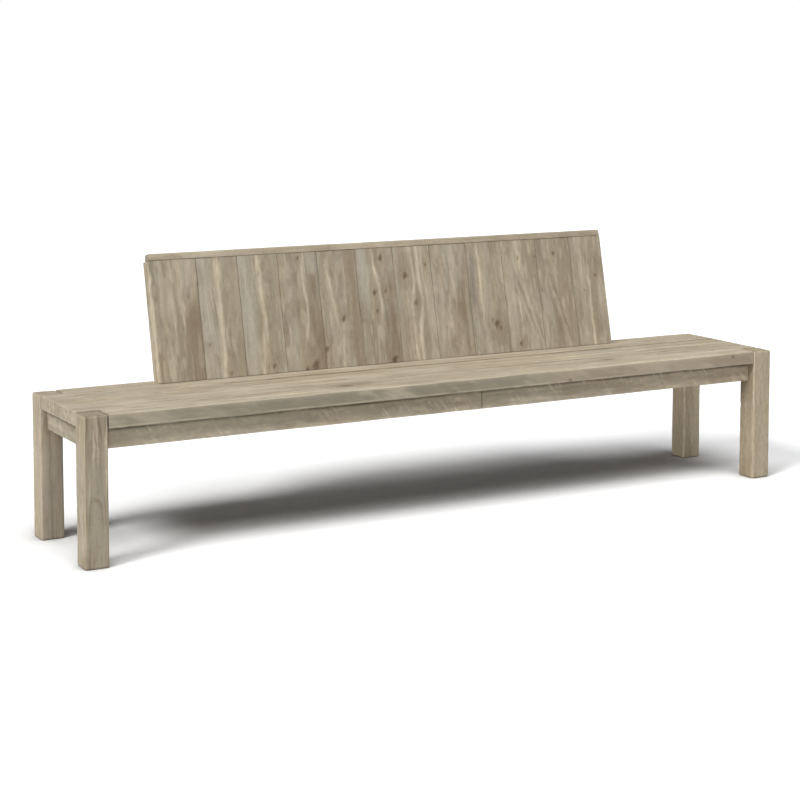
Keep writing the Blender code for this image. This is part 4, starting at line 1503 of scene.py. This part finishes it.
@dataclass
class Aprons:
    """The aprons, the splice block behind the front one's joint, and the bearers across."""

    edge: float = 0.0022
    pitch: Triple = (0.008, 0.0032, 0.0040)
    batten_pitch: Triple = (0.010, 0.0045, 0.0050)
    tenon_thickness: float = 0.012
    tenon_shoulder: float = 0.010

    @classmethod
    def tenon_box(cls, apron: str) -> tuple[Vector, Vector]:
        """The box of an apron's tenons, or of the whole apron where it has none.

        Args:
            apron: The apron.

        Returns:
            The box's lowest and highest corners.
        """
        low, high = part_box(apron)
        if apron == "apron_rear":
            return low, high
        thin = 1 if "front" in apron else 0
        middle = (low[thin] + high[thin]) / 2
        low[thin] = middle - cls.tenon_thickness / 2
        high[thin] = middle + cls.tenon_thickness / 2
        low.z += cls.tenon_shoulder
        high.z -= cls.tenon_shoulder
        return low, high

    def build(self) -> Iterator[bpy.types.Object]:
        """Builds the aprons, the splice block and the bearers, which are seen only from below.

        Yields:
            Each finished piece.
        """
        axes = {"apron_end_left": "-y", "apron_end_right": "+y", "apron_rear": "-x"}
        for node, look in APRON_LOOKS.items():
            placing, size = placed_in_box(*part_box(node), axes.get(node, "+x"), "+z")
            cuts = self.shoulders(node, size)
            apron = Timber(node, placing, size, look, SAWN_FINISH, self.edge, self.pitch, cuts)
            # The top tone paints the seat's shadow as a dark band under each apron's top.
            yield replace(apron, relief=0.0009, unrest=0.7, painted_top_shade=0.72).build()
        for seed, node in enumerate(("apron_splice", *BEARERS), start=83):
            placing, size = placed_in_box(*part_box(node), "+y" if node in BEARERS else "+x", "+z")
            look = plain_character(seed, TAN, 1.0, 1)
            yield Timber(node, placing, size, look, HIDDEN_FINISH, self.edge, self.batten_pitch).build()

    def shoulders(self, node: str, size: Triple) -> tuple[Notch, ...]:
        """What is cut away round an apron's tenons.

        Args:
            node: The apron.
            size: Its length, width and thickness.

        Returns:
            Four notches for each tenon.
        """
        length, width, thickness = size
        post_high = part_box("post_front_left")[1]
        into_end = post_high.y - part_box("apron_end_left")[0].y
        into_left = post_high.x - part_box("apron_front_left")[0].x
        into_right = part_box("apron_front_right")[1].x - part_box("post_front_right")[0].x
        left, right = {
            "apron_front_left": (into_left, 0.0),
            "apron_front_right": (0.0, into_right),
            "apron_rear": (0.0, 0.0),
        }.get(node, (into_end, into_end))
        cheek = (thickness - self.tenon_thickness) / 2
        notches = []
        for start, end in ((0.0, left), (length - right, length)):
            if end > start:
                notches += [
                    Notch((start, 0.0, 0.0), (end, self.tenon_shoulder, thickness)),
                    Notch((start, width - self.tenon_shoulder, 0.0), (end, width, thickness)),
                    Notch((start, 0.0, 0.0), (end, width, cheek)),
                    Notch((start, 0.0, thickness - cheek), (end, width, thickness)),
                ]
        return tuple(notches)


# The seat


@dataclass
class Seat:
    """The three seat boards, notched round the posts and the back's uprights."""

    edge: float = 0.0034
    pitch: Triple = (0.011, 0.0034, 0.0055)
    swelling: float = 0.0006
    post_gap: float = 0.003
    upright_gap: float = 0.0005
    lean: float = LEAN

    def build(self) -> Iterator[bpy.types.Object]:
        """Builds the three boards.

        Yields:
            Each finished board.
        """
        for number, look in enumerate(SEAT_LOOKS, start=1):
            node = f"seat_board_{number}"
            low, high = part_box(node)
            low.y -= self.swelling if number > 1 else 0.0
            high.y += self.swelling if number < len(SEAT_LOOKS) else 0.0
            placing, size = placed_in_box(low, high, "+x", "+y")
            cuts = self.cuts(number, low, high)
            board = Timber(node, placing, size, look, SEAT_FINISH, self.edge, self.pitch, cuts, "seat_wood")
            seams = (0.0, 0.0) if number == 1 else (0.16, 0.16)
            board = replace(board, relief=0.0006, seam_dark=seams, smooth_side=number == 1)
            yield replace(board, end_dark=0.0, unrest=0.55).build()

    def cuts(self, number: int, low: Vector, high: Vector) -> tuple[Notch, ...]:
        """The notches of one board.

        Args:
            number: The board's number from the front.
            low: Its lowest corner.
            high: Its highest corner.

        Returns:
            The notches for posts and uprights.
        """
        length, width, thickness = high - low
        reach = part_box("post_front_left")[1].x + self.post_gap - low.x
        near, far = {
            1: (0.0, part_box("post_front_left")[1].y + self.post_gap - low.y),
            2: (0.0, 0.0),
            3: (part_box("post_rear_left")[0].y - self.post_gap - low.y, width),
        }[number]
        notches = []
        if far > near:
            notches += [Notch((0.0, near, 0.0), (reach, far, thickness))]
            notches += [Notch((length - reach, near, 0.0), (length, far, thickness))]
        if number == 3:
            front = Back().foot_y(Back.board_depth) - self.upright_gap - low.y
            for upright in Back.uprights:
                upright_low, upright_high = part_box(upright)
                start = upright_low.x - self.upright_gap - low.x
                end = upright_high.x + self.upright_gap - low.x
                rake = math.tan(self.lean)
                notches += [Notch((start, front, 0.0), (end, width, thickness), rake)]
        return tuple(notches)


# The back


@dataclass
class Back:
    """The leaning back: upright boards under a cap, on rails between three uprights."""

    lean: float = LEAN
    height: float = 0.390
    board_depth: float = 0.020
    frame_depth: float = 0.032
    cap_depth: float = 0.036
    cap_thickness: float = 0.022
    rail_height: float = 0.060
    inset: float = 0.066
    gap: float = 0.0003
    seat_height: float = 0.450
    seat_thickness: float = 0.044
    shade: float = 0.87
    swelling: float = 0.00025
    seam_dark: float = 0.10
    board_edge: float = 0.0009
    board_pitch: Triple = (0.0045, 0.0024, 0.0040)
    board_step: float = 0.0003
    lively_boards: int = 4
    cap_edge: float = 0.0062
    cap_pitch: Triple = (0.008, 0.0022, 0.0020)
    rail_edge: float = 0.0022
    rail_pitch: Triple = (0.010, 0.0040, 0.0045)
    upright_edge: float = 0.0034
    upright_pitch: Triple = (0.007, 0.0034, 0.0034)
    uprights: tuple[str, ...] = ("back_upright_left", "back_upright_middle", "back_upright_right")

    @property
    def foot(self) -> Vector:
        """The middle of the back's front foot, on the seat."""
        return Vector((0.0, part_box("post_rear_left")[1].y - self.inset, self.seat_height))

    @property
    def up(self) -> Vector:
        """The direction up the back's slope."""
        return Vector((0.0, math.sin(self.lean), math.cos(self.lean)))

    @property
    def into(self) -> Vector:
        """The direction into the back, square to its front."""
        return Vector((0.0, math.cos(self.lean), -math.sin(self.lean)))

    def foot_y(self, depth: float) -> float:
        """World Y of the plane a depth behind the front, at the seat's height."""
        return self.foot.y + (depth + self.gap) / math.cos(self.lean)

    def corner(self, x: float, rise: float, depth: float) -> Vector:
        """The place at an X, a way up the slope and a depth behind the front."""
        place = self.foot + self.up * rise + self.into * depth
        place.x = x
        return place

    def build(self) -> Iterator[bpy.types.Object]:
        """Builds the boards, the cap, the rails and the uprights.

        Yields:
            Each finished piece.
        """
        yield from self.boards()
        yield self.cap()
        yield from self.rails()
        yield from self.framing()

    def boards(self) -> Iterator[bpy.types.Object]:
        """Builds the twelve boards, a few of them slightly less proud.

        Yields:
            Each finished board.
        """
        foot_gap = self.gap / math.cos(self.lean)
        last = len(BOARD_LOOKS)
        for number, look in enumerate(BOARD_LOOKS, start=1):
            node = f"back_board_{number:02d}"
            low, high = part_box(node)
            seams = (self.seam_dark if number > 1 else 0.0, self.seam_dark if number < last else 0.0)
            low.x -= self.swelling if number > 1 else 0.0
            high.x += self.swelling if number < last else 0.0
            placing = Placing(self.corner(low.x, self.height, self.board_depth), -self.up, AXES["x"])
            size = (self.height - foot_gap, high.x - low.x, self.board_depth)
            character = Character(number, TAN, *look)
            character = replace(character, shade=character.shade * self.shade)
            recess = self.board_step * (number % 3)
            unrest = 1.0 if number <= self.lively_boards else 0.8
            yield Timber(
                node, placing, size, character, BACK_FINISH, self.board_edge, self.board_pitch, (),
                "back_wood", math.tan(self.lean), recess, seam_dark=seams, unrest=unrest,
            ).build()

    def cap(self) -> bpy.types.Object:
        """Builds the cap board along the top.

        Returns:
            The finished cap.
        """
        low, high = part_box("back_cap")
        placing = Placing(self.corner(low.x, self.height + self.gap, 0.0), AXES["x"], self.into)
        size = (high.x - low.x, self.cap_depth, self.cap_thickness)
        return Timber(
            "back_cap", placing, size, CAP_LOOK, BACK_FINISH, self.cap_edge, self.cap_pitch, (),
            "back_wood", unrest=0.5, rear_edge=0.12,
        ).build()

    def rails(self) -> Iterator[bpy.types.Object]:
        """Builds the four rails behind the boards, the bottom ones cut level with the seat.

        Yields:
            Each finished rail.
        """
        depth = self.board_depth + self.gap
        foot_gap = self.gap / math.cos(self.lean) + depth * math.tan(self.lean)
        levels = (
            ("top", Timber, self.height - self.rail_height, self.height),
            ("bottom", SlopedRail, foot_gap, self.rail_height),
        )
        for seed, (level, end) in enumerate(product(levels, ("left", "right")), start=131):
            name, kind, bottom, top = level
            node = f"back_rail_{name}_{end}"
            low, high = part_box(node)
            placing = Placing(self.corner(high.x, bottom, depth), -AXES["x"], self.up)
            size = (high.x - low.x, top - bottom, self.frame_depth)
            look = plain_character(seed, TAN, 1.0, 3)
            yield kind(node, placing, size, look, HIDDEN_FINISH, self.rail_edge, self.rail_pitch).build()

    def framing(self) -> Iterator[bpy.types.Object]:
        """Builds the three uprights, raked above the seat's underside and plumb below it.

        Yields:
            Each finished upright.
        """
        depth = self.board_depth + self.gap
        knee = self.seat_height - self.seat_thickness
        for seed, node in enumerate(self.uprights, start=141):
            low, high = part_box(node)
            front = self.side_line(depth, knee, low.z)
            rear = self.side_line(depth + self.frame_depth, knee, low.z)
            raked = (Vector(front[0]) - Vector(front[1])).length
            lengths = (0.0, raked, raked + knee - low.z)
            placing = KneedPlacing(low.x, lengths, front, rear, self.frame_depth)
            size = (lengths[2], high.x - low.x, self.frame_depth)
            look = plain_character(seed, SILVER, 1.0, 2)
            yield Timber(
                node, placing, size, look, PLAIN_FINISH, self.upright_edge, self.upright_pitch,
                end_dark=0.50,
            ).build()

    def side_line(self, depth: float, knee: float, foot: float) -> tuple[tuple[float, float], ...]:
        """An upright's front or rear line.

        Args:
            depth: How far behind the back's front the line lies.
            knee: The knee's height.
            foot: The foot's height.

        Returns:
            Y and Z at its top, its knee and its foot.
        """
        top = self.corner(0.0, self.height, depth)
        rise = (knee - self.seat_height) * math.tan(self.lean)
        knee_y = self.foot.y + depth / math.cos(self.lean) + rise
        return (top.y, top.z), (knee_y, knee), (knee_y, foot)


# Fixings


class Facing(Enum):
    """Which way a screw's head looks, as a turn from up."""

    DOWN = (math.pi, 0.0, 0.0)
    REAR = (-math.pi / 2, 0.0, 0.0)
    REAR_SLOPE = (-math.pi / 2 - LEAN, 0.0, 0.0)


@dataclass
class Fixings:
    """The wood screws behind and below, and the finish of the coach bolts and their nuts."""

    head_radius: float = 0.0042
    head_height: float = 0.0016
    slot_width: float = 0.0011
    slot_reach: float = 1.25
    slot_lift: float = 0.6
    proud: float = 0.0004
    rail_screw_inset: float = 0.035
    rail_screw_lift: float = 0.006
    sides: int = 20
    finish: ZincFinish = ZincFinish()
    back: Back = field(default_factory=Back)

    def tree(self) -> bpy.types.NodeTree:
        """The geometry tree that sets one screw head on each point, made once.

        Returns:
            The tree, whose heads are turned about their own axes at random by a fixed seed.
        """
        kept = bpy.data.node_groups.get("screw_heads")
        if kept:
            return kept
        tree = bpy.data.node_groups.new("screw_heads", "GeometryNodeTree")
        sockets = {
            "Points": "Geometry",
            "Head Radius": "Float",
            "Head Height": "Float",
            "Slot Width": "Float",
            "Facing": "Vector",
            "Seed": "Int",
            "Material": "Material",
        }
        for name, kind in sockets.items():
            tree.interface.new_socket(name, in_out="INPUT", socket_type="NodeSocket" + kind)
        tree.interface.new_socket("Heads", in_out="OUTPUT", socket_type="NodeSocketGeometry")
        pen = Sketch(tree)
        given = pen.node("NodeGroupInput").outputs
        disc = {"Vertices": self.sides, "Radius": given["Head Radius"], "Depth": given["Head Height"]}
        head = pen.node("GeometryNodeMeshCylinder", disc).outputs["Mesh"]
        cut = pen.node("GeometryNodeMeshBoolean", {0: head}, operation="DIFFERENCE")
        lift = pen.node("ShaderNodeCombineXYZ", {2: given["Head Height"]}).outputs[0]
        lift = pen.scaled(lift, self.slot_lift)
        for long_axis in (0, 1):
            sides = [given["Slot Width"], given["Slot Width"], given["Head Height"]]
            sides[long_axis] = pen.times(given["Head Radius"], self.slot_reach)
            size = pen.node("ShaderNodeCombineXYZ", dict(enumerate(sides))).outputs[0]
            bar = pen.node("GeometryNodeMeshCube", {"Size": size}).outputs["Mesh"]
            moved = pen.node("GeometryNodeTransform", {"Geometry": bar, "Translation": lift})
            tree.links.new(moved.outputs["Geometry"], cut.inputs[1])
        spin = pen.node("FunctionNodeRandomValue", {"Seed": given["Seed"], 3: math.pi}, data_type="FLOAT")
        turn = pen.node("ShaderNodeCombineXYZ", {2: spin.outputs[1]}).outputs[0]
        facing = pen.node("FunctionNodeEulerToRotation", {0: given["Facing"]}).outputs[0]
        own = pen.node("FunctionNodeEulerToRotation", {0: turn}).outputs[0]
        inputs = {"Points": given["Points"], "Instance": cut.outputs["Mesh"], "Rotation": facing}
        heads = pen.node("GeometryNodeInstanceOnPoints", inputs).outputs["Instances"]
        heads = pen.node("GeometryNodeRotateInstances", {"Instances": heads, "Rotation": own})
        real = pen.node("GeometryNodeRealizeInstances", {0: heads.outputs[0]}).outputs[0]
        dressed = pen.node("GeometryNodeSetMaterial", {"Geometry": real, "Material": given["Material"]})
        pen.node("NodeGroupOutput", {0: dressed.outputs[0]})
        return tree

    def screws(self, name: str, places: list[Vector], facing: Facing, seed: int) -> bpy.types.Object:
        """Sets a group of screw heads.

        Args:
            name: The piece's name.
            places: The middle of each head.
            facing: Which way the heads look.
            seed: Fixes how each head is turned.

        Returns:
            The finished piece.
        """
        points = bpy.data.meshes.new(name + "_places")
        points.from_pydata([tuple(place) for place in places], [], [])
        carrier = in_scene(name + "_places", points)
        heads = carrier.modifiers.new("screw_heads", "NODES")
        heads.node_group = self.tree()
        values = {
            "Head Radius": self.head_radius,
            "Head Height": self.head_height,
            "Slot Width": self.slot_width,
            "Facing": facing.value,
            "Seed": seed,
            "Material": self.finish.material(),
        }
        for item in heads.node_group.interface.items_tree:
            if item.name in values and item.in_out == "INPUT":
                heads[item.identifier] = values[item.name]
        carrier.update_tag()
        bpy.context.view_layer.update()
        seen = carrier.evaluated_get(bpy.context.evaluated_depsgraph_get())
        mesh = bpy.data.meshes.new_from_object(seen)
        carrier.modifiers.remove(heads)
        bpy.data.objects.remove(carrier, do_unlink=True)
        bpy.data.meshes.remove(points)
        mesh.name = name
        return hand_over(name, mesh, "zinc_steel")

    def build(self) -> Iterator[bpy.types.Object]:
        """Sets the screws and dresses the coach bolts and nuts.

        Yields:
            Each dressed piece.
        """
        yield self.screws("back_screws", self.back_places(), Facing.REAR_SLOPE, 3)
        yield self.screws("seat_screws", self.seat_places(), Facing.DOWN, 5)
        yield self.screws("splice_screws", self.splice_places(), Facing.REAR, 7)
        for node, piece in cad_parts.items():
            if node.startswith(("coach_bolt", "flange_nut")):
                piece.data.materials.clear()
                piece.data.materials.append(self.finish.material())
                yield piece

    def back_places(self) -> list[Vector]:
        """Two screws into each back board from each rail, on the rails' rear faces.

        Returns:
            The heads' middles.
        """
        back = self.back
        deep = back.board_depth + back.gap + back.frame_depth + self.proud - self.head_height / 2
        levels = (back.height - back.rail_height / 2, back.rail_height / 2 + self.rail_screw_lift)
        places = []
        for number in range(1, len(BOARD_LOOKS) + 1):
            low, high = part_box(f"back_board_{number:02d}")
            for x in (low.x + self.rail_screw_inset, high.x - self.rail_screw_inset):
                if not self.behind_upright(x):
                    places += [back.corner(x, level, deep) for level in levels]
        return places

    def behind_upright(self, x: float) -> bool:
        """Whether an upright stands at this X."""
        boxes = [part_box(name) for name in Back.uprights]
        return any(low.x - self.head_radius < x < high.x + self.head_radius for low, high in boxes)

    def splice_places(self) -> list[Vector]:
        """Six screws through the splice block, three into each length of the front apron.

        Returns:
            The heads' middles.
        """
        low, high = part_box("apron_splice")
        y = high.y + self.proud - self.head_height / 2
        shares = ((0.12, 0.25), (0.12, 0.75), (0.28, 0.25), (0.72, 0.25), (0.88, 0.25), (0.88, 0.75))
        return [
            Vector((low.x + (high.x - low.x) * across, y, low.z + (high.z - low.z) * up))
            for across, up in shares
        ]

    def seat_places(self) -> list[Vector]:
        """Two screws up into each seat board from each bearer.

        Returns:
            The heads' middles.
        """
        places = []
        for bearer, board in product(BEARERS, range(1, len(SEAT_LOOKS) + 1)):
            low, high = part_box(bearer)
            board_low, board_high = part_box(f"seat_board_{board}")
            start = max(low.y, board_low.y)
            end = min(high.y, board_high.y)
            height = low.z - self.proud + self.head_height / 2
            for share in (0.25, 0.75):
                places += [Vector(((low.x + high.x) / 2, start + (end - start) * share, height))]
        return places


# The studio


@dataclass(frozen=True)
class Sun:
    """A distant soft lamp, by the direction that it stands in and what it gives a facing surface."""

    name: str
    towards: Triple
    level: float
    softness: float
    colour: Triple = (1.0, 1.0, 1.0)

    def build(self) -> None:
        """Adds the lamp."""
        data = bpy.data.lights.new(self.name, "SUN")
        data.energy = self.level * math.pi
        data.angle = math.radians(self.softness)
        data.color = self.colour
        in_scene(self.name, data).rotation_euler = Vector(self.towards).to_track_quat("Z", "Y").to_euler()


WARM_WHITE = (1.0, 0.996, 0.985)


@dataclass
class Studio:
    """Floor, lamps, world and camera."""

    image: float = 800.0
    focal_pixels: float = 1895.35
    sensor: float = 36.0
    shift: float = -0.22
    yaw: float = 0.5089
    pitch: float = 0.0894
    eye: Triple = (-3.0715, -5.3676, 1.4807)
    floor_radius: float = 60.0
    floor_sides: int = 64
    view_end: float = 200.0
    suns: tuple[Sun, ...] = (
        Sun("side_lamp", (-0.690, -0.270, 0.670), 0.52, 18.0, WARM_WHITE),
        Sun("top_lamp", (-0.105, -0.370, 0.920), 0.60, 46.0, WARM_WHITE),
        Sun("left_fill", (-1.0, 0.10, 0.0), 0.33, 8.0),
        Sun("front_fill", (-0.45, -0.89, 0.0), 0.25, 10.0),
        Sun("rear_fill", (0.45, 0.89, 0.0), 0.50, 8.0),
    )
    ambient: tuple = (0.014, 0.021, 0.032, 1.0)

    def build(self) -> None:
        """Sets the whole studio up."""
        self.build_camera()
        self.build_floor()
        self.build_world()
        for sun in self.suns:
            sun.build()
        bpy.context.scene.view_settings.view_transform = "Standard"

    def build_camera(self) -> None:
        """Stands the camera where the photograph was taken from."""
        data = bpy.data.cameras.new("camera")
        data.sensor_width = self.sensor
        data.lens = self.focal_pixels * self.sensor / self.image
        data.shift_y = self.shift
        data.clip_end = self.view_end
        camera = in_scene("camera", data)
        camera.location = self.eye
        camera.rotation_euler = (math.pi / 2 - self.pitch, 0.0, -self.yaw)
        bpy.context.scene.camera = camera

    def build_floor(self) -> None:
        """Lays a wide round floor."""
        turns = [2 * math.pi * step / self.floor_sides for step in range(self.floor_sides)]
        radius = self.floor_radius
        rim = [(radius * math.cos(turn), radius * math.sin(turn), 0.0) for turn in turns]
        mesh = bpy.data.meshes.new("floor")
        mesh.from_pydata(rim, [], [tuple(range(self.floor_sides))])
        mesh.materials.append(FloorFinish().material())
        in_scene("floor", mesh)

    def build_world(self) -> None:
        """Gives an even faint light, and plain white where the camera sees past the floor."""
        world = bpy.data.worlds.new("studio")
        world.use_nodes = True
        pen = Sketch(world.node_tree)
        colour = pen.blend(pen.seen(), self.ambient, (1.0, 1.0, 1.0, 1.0))
        light = pen.node("ShaderNodeBackground", {"Color": colour, "Strength": 1.0})
        pen.node("ShaderNodeOutputWorld", {"Surface": light.outputs["Background"]})
        bpy.context.scene.world = world


def main() -> None:
    """Builds the studio and the bench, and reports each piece."""
    logging.basicConfig(level=logging.INFO, format="%(name)s: %(message)s")
    Studio().build()
    for part in (Posts(), Aprons(), Seat(), Back(), Fixings()):
        for piece in part.build():
            LOG.info("%s: %s, %d faces", type(part).__name__, piece.name, len(piece.data.polygons))


if __name__ == "__main__":
    main()
